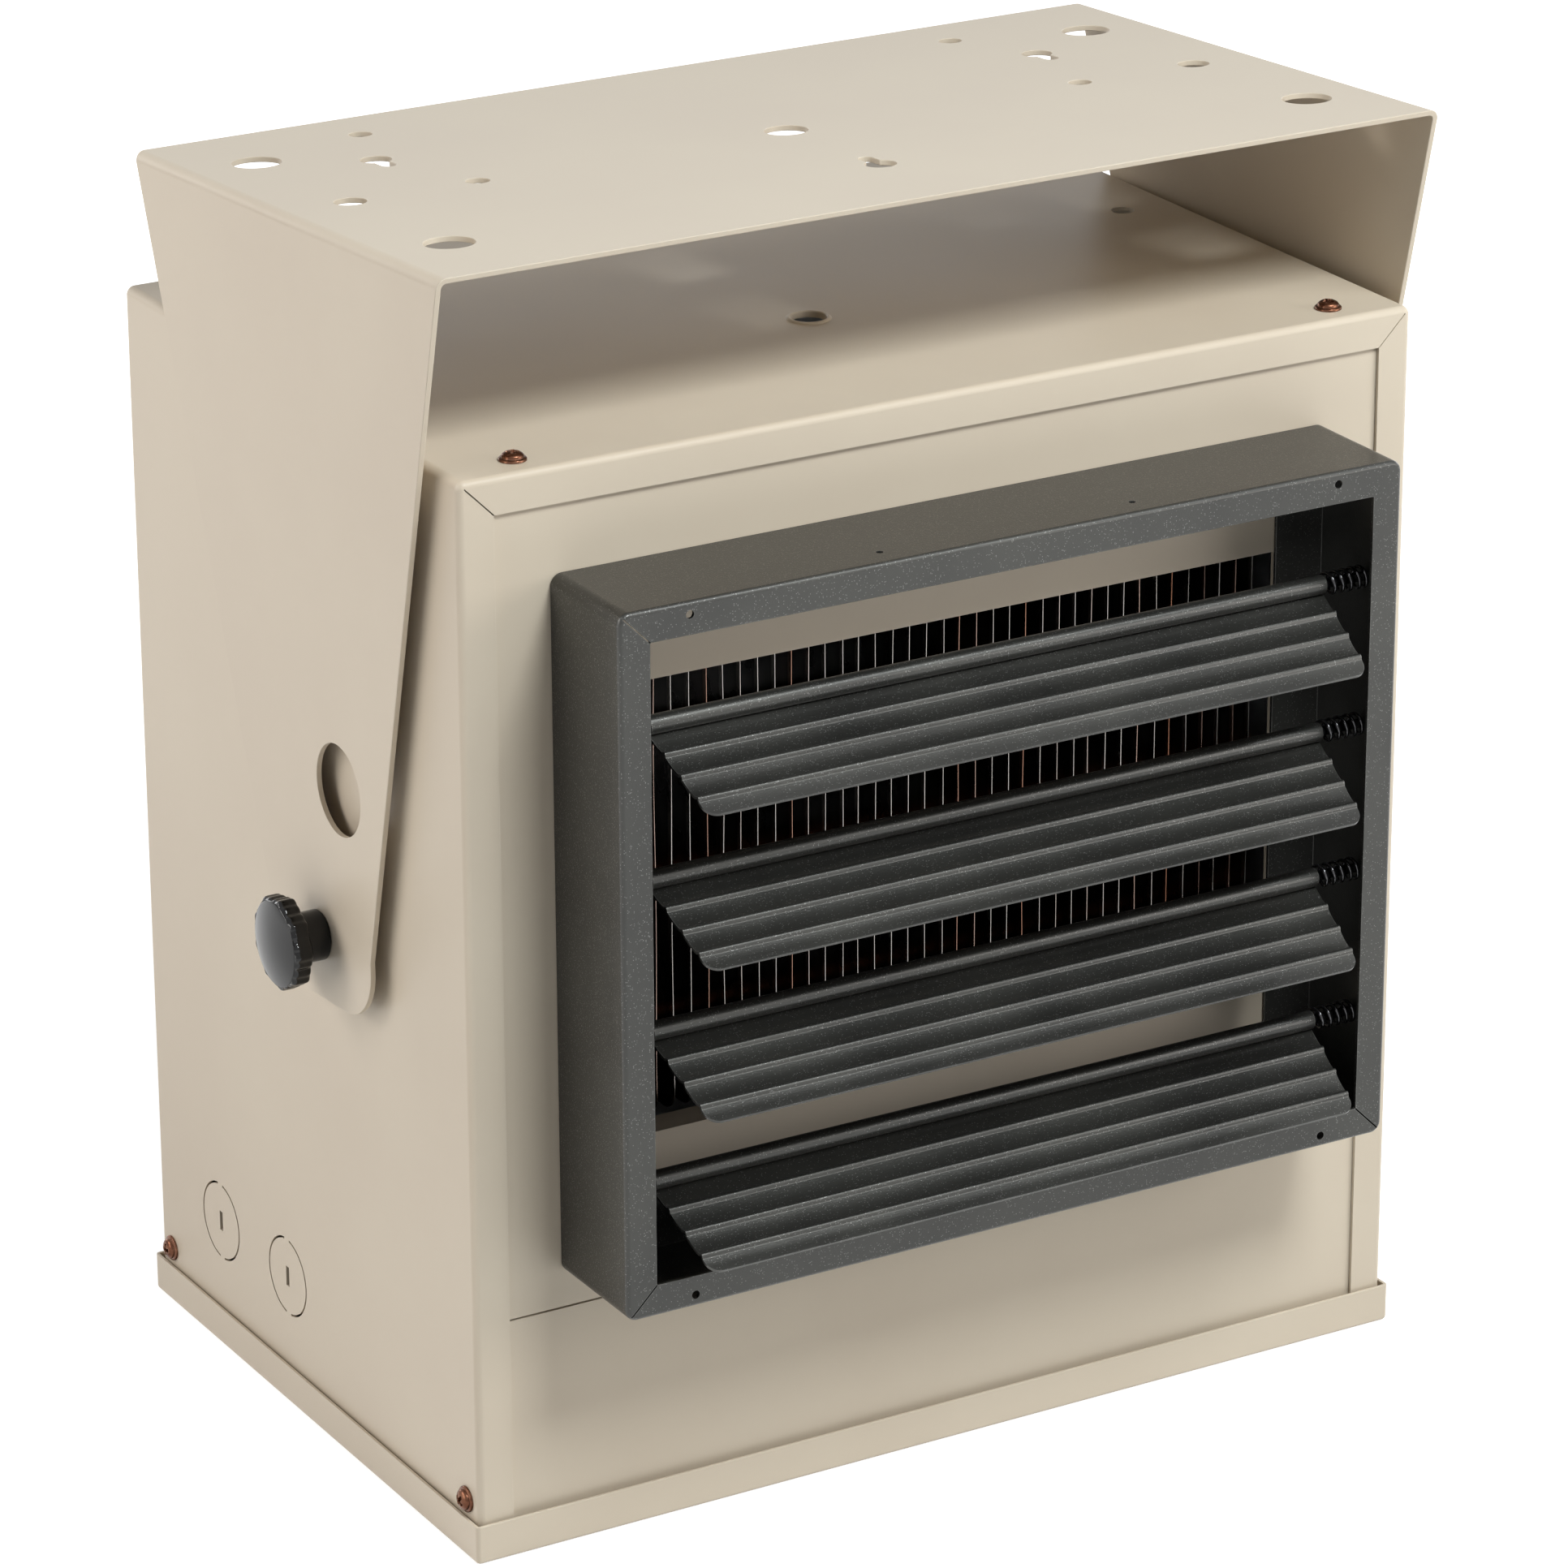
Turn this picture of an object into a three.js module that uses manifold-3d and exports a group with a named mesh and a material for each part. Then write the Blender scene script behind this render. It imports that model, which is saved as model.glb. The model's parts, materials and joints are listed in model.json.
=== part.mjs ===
// Ceiling mounted fan heater: a sheet metal cabinet that tilts in a yoke bracket. A propeller fan at
// the back blows air through a bank of finned elements and out between four louvre blades.
//
// Millimetres. +X points right as seen from the front, +Y runs from the front to the back and +Z is
// up. Places are measured from the middle of the cabinet's front plane, at the tray's underside.
// The last lines move the whole heater, so that its origin is the middle of its footprint.

import * as THREE from "three";
import { mergeVertices } from "three/addons/utils/BufferGeometryUtils.js";
import Module from "manifold-3d";

const wasm = await Module();
wasm.setup();

// ---- Driving dimensions ------------------------------------------------------------------------

// Cabinet of bent sheet
const CABINET_WIDTH = 355.6;
const CABINET_HEIGHT = 370.7;
const CABINET_DEPTH = 239.1;
const SHEET = 1.2;
const BEND = 2.4; // outer radius of a fold
const ROOF_CORNER = 1.25 * BEND; // where the walls fold over into the top
const FLANGE = 12.5; // rim turned in round the front and the back of the wrapper
const MITRE_GAP = 0.5;
const GAP = 0.3; // play between two sheets that lie on each other
const SEAT = 0.1; // play under the head of a screw
const RETURN = 12; // depth of the edges folded back on the panels
const SLIT_HEIGHT = 83.3; // where the outlet panel ends and the access panel begins
const SLIT_GAP = 0.7;
const TRAY_RIM = 13.7;
const TRAY_PLAY = 0.8; // between the tray's rim and the walls
const TRAY_TAB = 27; // height of the tabs that take the side screws
const TAB_WIDTH = 11;

// Pivot of the yoke bracket
const PIVOT_Y = 90.4;
const PIVOT_Z = 190.7;
const BRACKET_TILT = 3.4; // degrees that the bracket leans back
const BRACKET_SHEET = 1.9;
const BRACKET_BEND = 3.5;
const ARM_GAP = 4.9; // between the cabinet wall and an arm
const PLATE_DEPTH = 215.6;
const PLATE_RISE = 240.8; // from the pivot to the plate's upper face
const ARM_HALF_WIDTH = 35.5; // at the pivot
const ARM_FOOT = 22.5; // from the pivot down to the arm's end
const ARM_CORNER = 20;
const ARM_HOLE = 31;
const ARM_HOLE_FORWARD = 19.2;
const ARM_HOLE_RISE = 54.5;

// Holes of the bracket's plate, from its middle
const BIG_HOLE = 16.5;
const BIG_HOLE_X = 159.5;
const BIG_HOLE_Y = 67.6;
const MIDDLE_HOLE = 14.5;
const SIDE_HOLE = 10.7;
const SMALL_HOLE = 7.9;
const SMALL_HOLE_X = 114;
const SMALL_HOLE_Y = 83;
const KEYHOLE = 10.5;
const KEYHOLE_SLOT = 5;
const KEYHOLE_LENGTH = 17;
const REAR_KEYHOLE_X = 126.6;
const REAR_KEYHOLE_Y = 47;
const FRONT_KEYHOLE_Y = 60;

// Clamping knobs
const STUD = 7.6;
const STUD_REACH = 14; // beyond the knob's foot
const STUD_PLAY = 0.4;
const KNOB = 32;
const KNOB_HEAD = 9;
const KNOB_FACE = 29; // the domed face in front of the lobes
const KNOB_DOME = 2.2;
const KNOB_LOBES = 9;
const LOBE_DEPTH = 1.2;
const KNOB_HUB = 17;
const KNOB_HUB_LENGTH = 9.6;
const SPACER = 22;
const NUT = 14; // across flats
const NUT_LENGTH = 6;

// Louvre frame and its blades
const FRAME_WIDTH = 291;
const FRAME_BOTTOM = 95.9;
const FRAME_TOP_MARGIN = 35.6; // from the frame's top to the cabinet's
const FRAME_PROUD = 42.7; // from the cabinet's front plane to the frame's face
const FRAME_CORNER = 4;
const FRAME_BEND = 1.6;
const FACE_FLANGE = 10.9;
const BASE_FLANGE = 19.5;
const FACE_HOLE = 2.8;
const FACE_HOLE_INSET = 25;
const FACE_HOLE_EDGE = 4.2;
const TOP_WALL_HOLE = 2.4;
const TOP_WALL_HOLE_X = 47;
const TOP_WALL_HOLE_INSET = 9.5;
const BLADE_COUNT = 4;
const BLADE_DROP = 44.9; // from the frame's top to the uppermost pivot
const BLADE_RISE = 38.9; // from the frame's bottom to the lowest pivot
const BLADE_INSET = 16.9; // from the frame's face back to the pivots
const BLADE_CHORD = 38.2;
const BLADE_SHEET = 0.9;
const BLADE_TILT = 28; // degrees below level
const BLADE_END_TAPER = 3.6; // how much each end draws in towards the lower edge
const BLADE_CORNER = 4.5;
const ROLL = 6.4; // outer diameter of the rolled edge
const RIDGE_COUNT = 3;
const RIDGE_FIRST = 11.3;
const RIDGE_PITCH = 9.9;
const RIDGE_WIDTH = 4.8;
const RIDGE_HEIGHT = 1.6;
const ROD = 3.2;
const ROD_PLAY = 0.4;
const SPRING = 8.2; // outer diameter
const SPRING_WIRE = 1.3;
const SPRING_CURLS = 5;
const SPRING_ROOM = 17.3; // between a blade's end and the frame's wall

// Outlet and heating element
const OUTLET_MARGIN = 41.6; // from the outlet to the outside of the louvre frame, above and below
const LIP = 10; // upper and lower edge of the outlet, folded back
const FIN_PITCH = 6.35;
const FIN = 0.6;
const FIN_OVERLAP = 2; // how far the fins reach behind the outlet's upper and lower edge
const FIN_DEPTH = 38;
const FIN_BEHIND_LIP = 2.3;
const FIN_CORNER = 6;
const TUBE = 8;
const TUBE_COUNT = 3;
const TUBE_EDGE = 30; // from the ends of the fins to the outer tubes
const TUBE_OVERHANG = 26; // beyond the last fin
const TERMINAL = 3.6;
const TERMINAL_LENGTH = 9;
const END_PLATE_GAP = 6; // from the last fin to an end plate
const END_PLATE_OVERLAP = 18; // beyond the outlet, above and below
const END_PLATE_DEPTH = 56;

// Fan, motor and air inlet
const FAN_DROP = 4.8; // below the middle of the air chamber
const TIP_GAP = 4; // between the propeller and the orifice
const FAN_BLADES = 5;
const FAN_HUB = 58;
const FAN_HUB_RIM = 6; // how far the hub's edge is dished forwards, and its width
const FAN_HUB_DISH = 4;
const FAN_CAMBER = 6;
const FAN_BOSS = 20;
const FAN_BOSS_LENGTH = 22;
const FAN_SHEET = 1.6;
const ROOT_PITCH = 38; // degrees
const TIP_PITCH = 22;
const ROOT_CHORD = 46;
const TIP_CHORD = 96;
const ORIFICE_STEP = 9; // from the inlet's edge in to the orifice
const COLLAR = 16;
const SHROUD_FROM_BACK = 111.1; // from the orifice plate's front to the cabinet's back
const SHAFT = 8;
const SHAFT_PLAY = 0.4;
const MOTOR = 84;
const MOTOR_LENGTH = 64;
const MOTOR_NECK = 22; // bearing boss on the front bell
const MOTOR_NECK_LENGTH = 4;
const MOTOR_BELL = 12; // how far the bells draw in towards their ends
const MOTOR_SEAM = 3; // step between a bell and the shell
const SHAFT_SEAT = 17; // depth of the bearing in the motor
const INLET_MARGIN = 17.4; // of the air chamber's height, above and below the inlet's size
const GUARD_WIRE = 2.6;
const GUARD_RINGS = 5;
const GUARD_PLATE = 66;
const GUARD_SPOKE_LAP = 4; // of a spoke on the middle plate
const GUARD_EAR = 12.6;
const GUARD_EAR_OUT = 9; // from the inlet's edge to the screws

// Controls in the wiring box. A block's size is its width, its depth, and how far below the deck it
// starts and ends.
const TERMINAL_BLOCK_X = -110;
const TERMINAL_POLES = 3;
const TERMINAL_PITCH = 16;
const TERMINAL_WALL = 3; // between two poles
const TERMINAL_DEPTH = 26;
const TERMINAL_HEIGHT = 20;
const TERMINAL_WELL = 9; // how deep the screws lie
const TERMINAL_SCREW = 8;
const TERMINAL_SCREW_LENGTH = 5.5;
const CONTACTOR_X = -30;
const CONTACTOR_BASE = [64, 48, 0, 2];
const CONTACTOR_HOUSING = [54, 42, 1, 34];
const CONTACTOR_COIL = [40, 32, 33, 50];
const CONTACTOR_POLE = [10, 52, 18, 26];
const CONTACTOR_PITCH = 16;
const TRANSFORMER_X = 58;
const TRANSFORMER_CORE = [48, 20, 1, 40];
const TRANSFORMER_FEET = [68, 18, 0, 2];
const WINDING_WIDTH = 30;
const WINDING_DEPTH = 36;
const WINDING_MARGIN = 7; // of the core, above and below the winding
const WINDING_CORNER = 5;
const GROUND_LUG_X = -150;
const GROUND_LUG_BACK = 20; // behind the cabinet's middle
const LUG_WIDTH = 10;
const LUG_BORE = 5;
const LUG_PLATE = [LUG_WIDTH, 22, 0, 2];
const LUG_HEIGHT = 11;
const LUG_SCREW_HEIGHT = 15;
const CUTOUT_BACK = 12; // behind the tubes
const CUTOUT_DISC = 16;
const CUTOUT_RIM = 19;
const CUTOUT_HEIGHT = 14;
const CUTOUT_STRAP = 32;
const CUTOUT_TAB = 10;

// Cable entries
const DECK_CABLE_HOLE = 22;
const DECK_CABLE_HOLE_EDGE = 30;
const DECK_FOLD = 8;
const KNOCKOUT = 28.6;
const KNOCKOUT_GROOVE = 0.8;
const KNOCKOUT_TIE = 14; // degrees left uncut above and below
const KNOCKOUT_Z = 46.3;
const KNOCKOUT_SLOT = 6.8;
const KNOCKOUT_SLOT_WIDTH = 1.8;
const KNOCKOUT_FROM_BACK = [49.7, 101.2];

// Holes and screws of the case
const LIFT_HOLE = 12;
const LIFT_COLLAR = 3;
const REAR_TOP_HOLE = 8;
const REAR_TOP_HOLE_EDGE = 21.9;
const REAR_TOP_HOLE_FROM_BACK = 97.8;
const TOP_SCREW_EDGE = 25.4;
const TOP_SCREW_Y = 11.5;
const SIDE_SCREW_Z = 19.4;
const SIDE_SCREW_INSET = 8.7;
const REAR_SCREW_INSET = 48.4; // from the cabinet's top and bottom
const SCREW = 3.8;
const SCREW_HEAD = 7.2;
const SCREW_WASHER = 9;
const SCREW_HEAD_HEIGHT = 3;
const SCREW_LENGTH = 9;
const SCREW_PLAY = 0.4;

// ---- Sizes that follow --------------------------------------------------------------------------

const HALF = CABINET_WIDTH / 2;
const INNER = HALF - SHEET - GAP; // outside of what fits between the walls
const FOOT = SHEET + GAP; // the walls stand on the tray's floor
const PANEL_FRONT = SHEET + GAP;
const PANEL_BACK = PANEL_FRONT + SHEET;
const PANEL_TOP = CABINET_HEIGHT - SHEET - GAP;
const REAR_OUTER = CABINET_DEPTH - SHEET - GAP;
const REAR_INNER = REAR_OUTER - SHEET;
const ARM_INNER = HALF + ARM_GAP;
const ARM_OUTER = ARM_INNER + BRACKET_SHEET;
const PLATE_HALF = PLATE_DEPTH / 2;
const FRAME_HALF = FRAME_WIDTH / 2;
const FRAME_TOP = CABINET_HEIGHT - FRAME_TOP_MARGIN;
const FRAME_INSIDE = FRAME_HALF - SHEET;
const BLADE_Y = BLADE_INSET - FRAME_PROUD;
const BLADE_PITCH = (FRAME_TOP - FRAME_BOTTOM - BLADE_DROP - BLADE_RISE) / (BLADE_COUNT - 1);
const BLADE_HALF = FRAME_INSIDE - SPRING_ROOM;
const OUTLET_WIDTH = FRAME_WIDTH - 2 * BASE_FLANGE;
const OUTLET_BOTTOM = FRAME_BOTTOM + OUTLET_MARGIN;
const OUTLET_TOP = FRAME_TOP - OUTLET_MARGIN;
const FIN_COUNT = Math.round(OUTLET_WIDTH / FIN_PITCH) + 1;
const FIN_HEIGHT = OUTLET_TOP - OUTLET_BOTTOM + 2 * FIN_OVERLAP;
const TUBE_PITCH = (FIN_HEIGHT - 2 * TUBE_EDGE) / (TUBE_COUNT - 1);
const BANK_HALF = ((FIN_COUNT - 1) / 2) * FIN_PITCH;
const BANK_FRONT = PANEL_BACK + LIP + FIN_BEHIND_LIP;
const BANK_Y = BANK_FRONT + FIN_DEPTH / 2;
const OUTLET_Z = (OUTLET_BOTTOM + OUTLET_TOP) / 2;
const END_PLATE_X = BANK_HALF + END_PLATE_GAP;
const DECK_TOP = SLIT_HEIGHT + SHEET;
const FAN_Z = (DECK_TOP + PANEL_TOP) / 2 - FAN_DROP;
const INLET = PANEL_TOP - DECK_TOP - 2 * INLET_MARGIN;
const ORIFICE = INLET - 2 * ORIFICE_STEP;
const FAN = ORIFICE - 2 * TIP_GAP;
const MOTOR_FRONT = REAR_OUTER - MOTOR_LENGTH;
const SHROUD_Y = CABINET_DEPTH - SHROUD_FROM_BACK;
const FAN_Y = SHROUD_Y + SHEET + COLLAR / 2;
const BEARING = SHAFT + 2 * SHAFT_PLAY;
const CONTROLS_Y = CABINET_DEPTH / 2;
const HUNG = SLIT_HEIGHT - GAP; // what hangs under the deck starts here
const SCREW_HOLE = SCREW + 2 * SCREW_PLAY;
const HEATER_PARTS = new THREE.Group();

// ---- Finishes -----------------------------------------------------------------------------------

const finish = (color, roughness, metalness) => ({ color, roughness, metalness });
const BEIGE_PAINT = finish(0xcbbda6, 0.45, 0.1);
const DARK_POWDER_COAT = finish(0x3f4143, 0.6, 0.2);
const GALVANISED = finish(0xb4b6b8, 0.4, 0.9);
const BROWN_SCREW = finish(0x6f4a38, 0.35, 0.8);
const BLACK_PLASTIC = finish(0x0d0d0e, 0.2, 0);
const BLACK_STEEL = finish(0x151515, 0.35, 0.6);
const BRIGHT_STEEL = finish(0xc2c2c0, 0.3, 1);
const BRAZED_STEEL = finish(0x8d8078, 0.4, 0.9);
const ALUMINIUM = finish(0xc9cacc, 0.35, 1);
const MOTOR_ENAMEL = finish(0x24262a, 0.5, 0.3);
const DARK_PHENOLIC = finish(0x1c1a19, 0.55, 0);
const COPPER_WINDING = finish(0x8a4a22, 0.4, 0.7);

// ---- Drawing and joining ------------------------------------------------------------------------

const X_AXIS = new THREE.Vector3(1, 0, 0);
const Y_AXIS = new THREE.Vector3(0, 1, 0);
const Z_AXIS = new THREE.Vector3(0, 0, 1);

// How a flat drawing stands in the heater, by the axis that it is extruded along.
const PLANE = {
  x: new THREE.Matrix4().makeBasis(Y_AXIS, Z_AXIS, X_AXIS),
  y: new THREE.Matrix4().makeBasis(X_AXIS, Z_AXIS, Y_AXIS.clone().negate()),
  z: new THREE.Matrix4(),
};

// A closed geometry as a solid that can be joined and cut.
function solid(shape) {
  if (shape instanceof wasm.Manifold) return shape;
  const bare = shape.clone();
  Object.keys(bare.attributes)
    .filter((name) => name !== "position")
    .forEach((name) => bare.deleteAttribute(name));
  const merged = mergeVertices(bare, 1e-4);
  const corners = merged.index.array;
  const kept = [];
  for (let i = 0; i < corners.length; i += 3) {
    const [a, b, c] = corners.slice(i, i + 3);
    if (a !== b && b !== c && c !== a) kept.push(a, b, c);
  }
  const vertProperties = merged.attributes.position.array;
  return new wasm.Manifold(
    new wasm.Mesh({ numProp: 3, vertProperties, triVerts: new Uint32Array(kept) }),
  );
}

const join = (...shapes) => shapes.map(solid).reduce((a, b) => a.add(b));
const cut = (body, ...tools) => tools.map(solid).reduce((a, b) => a.subtract(b), solid(body));
const common = (a, b) => solid(a).intersect(solid(b));

// The surface of a solid as flat faces.
function surface(body) {
  if (body.isBufferGeometry) return body;
  const { vertProperties, triVerts } = body.getMesh();
  const geometry = new THREE.BufferGeometry();
  geometry.setAttribute("position", new THREE.BufferAttribute(vertProperties, 3));
  geometry.setIndex(new THREE.BufferAttribute(triVerts, 1));
  const flat = geometry.toNonIndexed();
  flat.computeVertexNormals();
  return flat;
}

// One named piece of the heater, placed in a group.
function piece(name, shape, look, parent = HEATER_PARTS) {
  const mesh = new THREE.Mesh(surface(shape), new THREE.MeshStandardMaterial(look));
  mesh.name = name;
  parent.add(mesh);
  return mesh;
}

function box(x0, x1, y0, y1, z0, z1) {
  const geometry = new THREE.BoxGeometry(x1 - x0, y1 - y0, z1 - z0);
  return geometry.translate((x0 + x1) / 2, (y0 + y1) / 2, (z0 + z1) / 2);
}

// Corners [x, y] or [x, y, radius] as the points of a closed line, with the radii as arcs.
function outline(corners, steps = 3) {
  const points = [];
  corners.forEach(([x, y, radius = 0], i) => {
    const corner = new THREE.Vector2(x, y);
    if (!radius) {
      points.push(corner);
      return;
    }
    const [bx, by] = corners.at(i - 1);
    const [ax, ay] = corners[(i + 1) % corners.length];
    const before = new THREE.Vector2(bx - x, by - y).normalize();
    const after = new THREE.Vector2(ax - x, ay - y).normalize();
    const half = Math.acos(THREE.MathUtils.clamp(before.dot(after), -1, 1)) / 2;
    const reach = radius / Math.tan(half);
    const bisector = before.clone().add(after).normalize();
    const centre = corner.clone().addScaledVector(bisector, radius / Math.sin(half));
    const start = corner.clone().addScaledVector(before, reach).sub(centre).angle();
    const end = corner.clone().addScaledVector(after, reach).sub(centre).angle();
    const turn = THREE.MathUtils.euclideanModulo(end - start + Math.PI, 2 * Math.PI) - Math.PI;
    for (let k = 0; k <= steps; k++) {
      const angle = start + (turn * k) / steps;
      points.push(new THREE.Vector2(Math.cos(angle), Math.sin(angle)).multiplyScalar(radius).add(centre));
    }
  });
  return points;
}

const rectangle = (x0, x1, y0, y1, radius = 0, steps = 3) =>
  outline([[x0, y0, radius], [x1, y0, radius], [x1, y1, radius], [x0, y1, radius]], steps);

// A regular polygon that stands for a circle.
function circle(x, y, diameter, sides) {
  return Array.from({ length: sides }, (_, i) => {
    const angle = ((i + 0.5) / sides) * 2 * Math.PI;
    return new THREE.Vector2(x + (diameter / 2) * Math.cos(angle), y + (diameter / 2) * Math.sin(angle));
  });
}

// An outline with holes, extruded along an axis from one place to another.
function extrude(axis, from, to, points, holes = [], round = 0, bevelSegments = 2) {
  const shape = new THREE.Shape(points);
  shape.holes = holes.map((hole) => new THREE.Path(hole));
  const geometry = new THREE.ExtrudeGeometry(shape, {
    depth: to - from - 2 * round,
    bevelEnabled: round > 0,
    bevelThickness: round,
    bevelSize: round,
    bevelOffset: -round,
    bevelSegments,
  });
  geometry.translate(0, 0, round).applyMatrix4(PLANE[axis]);
  const start = axis === "y" ? to : from;
  return geometry.translate(...{ x: [start, 0, 0], y: [0, start, 0], z: [0, 0, start] }[axis]);
}

const bar = (axis, from, to, a, b, diameter, sides = 12) =>
  extrude(axis, from, to, circle(a, b, diameter, sides));

// A turned piece about the Y axis: profile points are [radius, y], from the front to the back.
function turned(profile, sides) {
  const points = profile.map(([radius, y]) => new THREE.Vector2(radius, y));
  return new THREE.LatheGeometry(points, sides);
}

// ---- Case ---------------------------------------------------------------------------------------

// Points on the four quarters of a rectangle, such as screws that mirror each other.
const mirroredX = (x, y) => [[-x, y], [x, y]];

// The slits of a mitred corner: they run from the flange's inner corner out to the fold.
function mitre(cornerX, cornerZ, width, fold, y0, y1) {
  const length = (width - fold) * Math.SQRT2;
  const slit = new THREE.BoxGeometry(length, y1 - y0, MITRE_GAP);
  const slope = Math.sign(cornerX) * Math.sign(cornerZ - OUTLET_Z);
  slit.rotateY((-slope * Math.PI) / 4);
  const middle = width - (width - fold) / 2;
  return slit.translate(
    cornerX - Math.sign(cornerX) * middle,
    (y0 + y1) / 2,
    cornerZ - Math.sign(cornerZ - OUTLET_Z) * middle,
  );
}

// A partly punched disc in the left wall: two arcs of groove with a tie between them, and a slot
// for the screwdriver that breaks it out.
function knockout(y, z) {
  const inner = KNOCKOUT / 2 - KNOCKOUT_GROOVE;
  const tie = THREE.MathUtils.degToRad(KNOCKOUT_TIE);
  const steps = 5;
  const arc = (radius, start, turn) =>
    Array.from({ length: steps + 1 }, (_, k) => {
      const angle = start + (turn * k) / steps;
      return new THREE.Vector2(y + radius * Math.cos(angle), z + radius * Math.sin(angle));
    });
  const grooves = [Math.PI / 2, -Math.PI / 2].map((side) => {
    const start = side + tie / 2;
    const turn = Math.PI - tie;
    const ring = [...arc(KNOCKOUT / 2, start, turn), ...arc(inner, start + turn, -turn)];
    return extrude("x", -HALF - 1, -HALF + SHEET + 1, ring);
  });
  const w = KNOCKOUT_SLOT_WIDTH / 2;
  const h = KNOCKOUT_SLOT / 2;
  return [...grooves, box(-HALF - 1, -HALF + SHEET + 1, y - w, y + w, z - h, z + h)];
}

const REAR_SCREW_Z = [REAR_SCREW_INSET, CABINET_HEIGHT - REAR_SCREW_INSET];
const SIDE_SCREW_Y = [SIDE_SCREW_INSET, REAR_INNER - GAP - TAB_WIDTH / 2];
const REAR_SCREW_X = HALF - FLANGE / 2;
const TOP_SCREW_X = HALF - TOP_SCREW_EDGE;

// Left wall, top and right wall in one sheet, with a flange turned in round the front and the back.
function makeWrapper() {
  const shell = (inset, z0) =>
    outline([
      [-HALF + inset, z0],
      [HALF - inset, z0],
      [HALF - inset, CABINET_HEIGHT - inset, ROOF_CORNER - inset],
      [-HALF + inset, CABINET_HEIGHT - inset, ROOF_CORNER - inset],
    ]);
  const window = HALF - FLANGE;
  const folded = cut(
    extrude("y", 0, CABINET_DEPTH, shell(0, FOOT - 2 * BEND), [], BEND),
    box(-HALF - 1, HALF + 1, -1, CABINET_DEPTH + 1, FOOT - 3 * BEND, FOOT),
    extrude("y", SHEET, CABINET_DEPTH - SHEET, shell(SHEET, FOOT - 2 * BEND)),
    box(-window, window, -1, CABINET_DEPTH + 1, FOOT - 1, CABINET_HEIGHT - FLANGE),
  );
  const collar = bar("z", CABINET_HEIGHT - SHEET - LIFT_COLLAR, CABINET_HEIGHT - SHEET / 2,
    0, PIVOT_Y, LIFT_HOLE + 2 * SHEET, 16);
  const roof = [CABINET_HEIGHT - SHEET - LIFT_COLLAR - 1, CABINET_HEIGHT + 1];
  const rearHole = [HALF - REAR_TOP_HOLE_EDGE, CABINET_DEPTH - REAR_TOP_HOLE_FROM_BACK];
  return cut(
    join(folded, collar),
    mitre(-HALF, CABINET_HEIGHT, FLANGE, BEND, -1, SHEET + 1),
    mitre(HALF, CABINET_HEIGHT, FLANGE, BEND, -1, SHEET + 1),
    bar("z", ...roof, 0, PIVOT_Y, LIFT_HOLE, 16),
    ...mirroredX(...rearHole).map(([x, y]) => bar("z", ...roof, x, y, REAR_TOP_HOLE, 12)),
    ...mirroredX(TOP_SCREW_X, TOP_SCREW_Y).map(([x, y]) => bar("z", ...roof, x, y, SCREW_HOLE, 8)),
    bar("x", -HALF - 1, HALF + 1, PIVOT_Y, PIVOT_Z, STUD + 2 * STUD_PLAY, 12),
    ...SIDE_SCREW_Y.map((y) => bar("x", -HALF - 1, HALF + 1, y, SIDE_SCREW_Z, SCREW_HOLE, 8)),
    ...REAR_SCREW_Z.flatMap((z) => mirroredX(REAR_SCREW_X, z)).map(([x, z]) =>
      bar("y", CABINET_DEPTH - SHEET - 1, CABINET_DEPTH + 1, x, z, SCREW_HOLE, 8)),
    ...KNOCKOUT_FROM_BACK.flatMap((back) => knockout(CABINET_DEPTH - back, KNOCKOUT_Z)),
  );
}

// A panel of the case, cut to the room between the walls. Its upper corners follow the folds.
function fitBetweenWalls(panel, y0, y1) {
  const corner = ROOF_CORNER - SHEET;
  const room = outline([
    [-INNER, FOOT],
    [INNER, FOOT],
    [INNER, PANEL_TOP, corner],
    [-INNER, PANEL_TOP, corner],
  ]);
  return common(panel, extrude("y", y0, y1, room));
}

// Upper front: a recessed panel. Its outlet has a folded lip above and below, and two screws hold
// its top edge.
function makeOutletPanel() {
  const bottom = SLIT_HEIGHT + SLIT_GAP / 2;
  const w = OUTLET_WIDTH / 2;
  const top = OUTLET_TOP;
  const lipBack = PANEL_BACK + LIP;
  const opening = rectangle(-w, w, OUTLET_BOTTOM, top);
  const edge = INNER - SHEET;
  const panel = join(
    extrude("y", PANEL_FRONT, PANEL_BACK, rectangle(-INNER, INNER, bottom, PANEL_TOP), [opening]),
    box(-w, w, PANEL_BACK - SHEET / 2, lipBack, OUTLET_BOTTOM - SHEET, OUTLET_BOTTOM),
    box(-w, w, PANEL_BACK - SHEET / 2, lipBack, top, top + SHEET),
    box(-INNER, INNER, PANEL_FRONT, PANEL_BACK + 1.5 * RETURN, PANEL_TOP - SHEET, PANEL_TOP),
    box(-INNER, -edge, PANEL_FRONT, PANEL_BACK + RETURN, DECK_TOP + GAP, PANEL_TOP),
    box(edge, INNER, PANEL_FRONT, PANEL_BACK + RETURN, DECK_TOP + GAP, PANEL_TOP),
  );
  const holes = mirroredX(TOP_SCREW_X, TOP_SCREW_Y).map(([x, y]) =>
    bar("z", PANEL_TOP - SHEET - 1, PANEL_TOP + 1, x, y, SCREW_HOLE, 8));
  return cut(fitBetweenWalls(panel, PANEL_FRONT, BANK_FRONT), ...holes);
}

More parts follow.
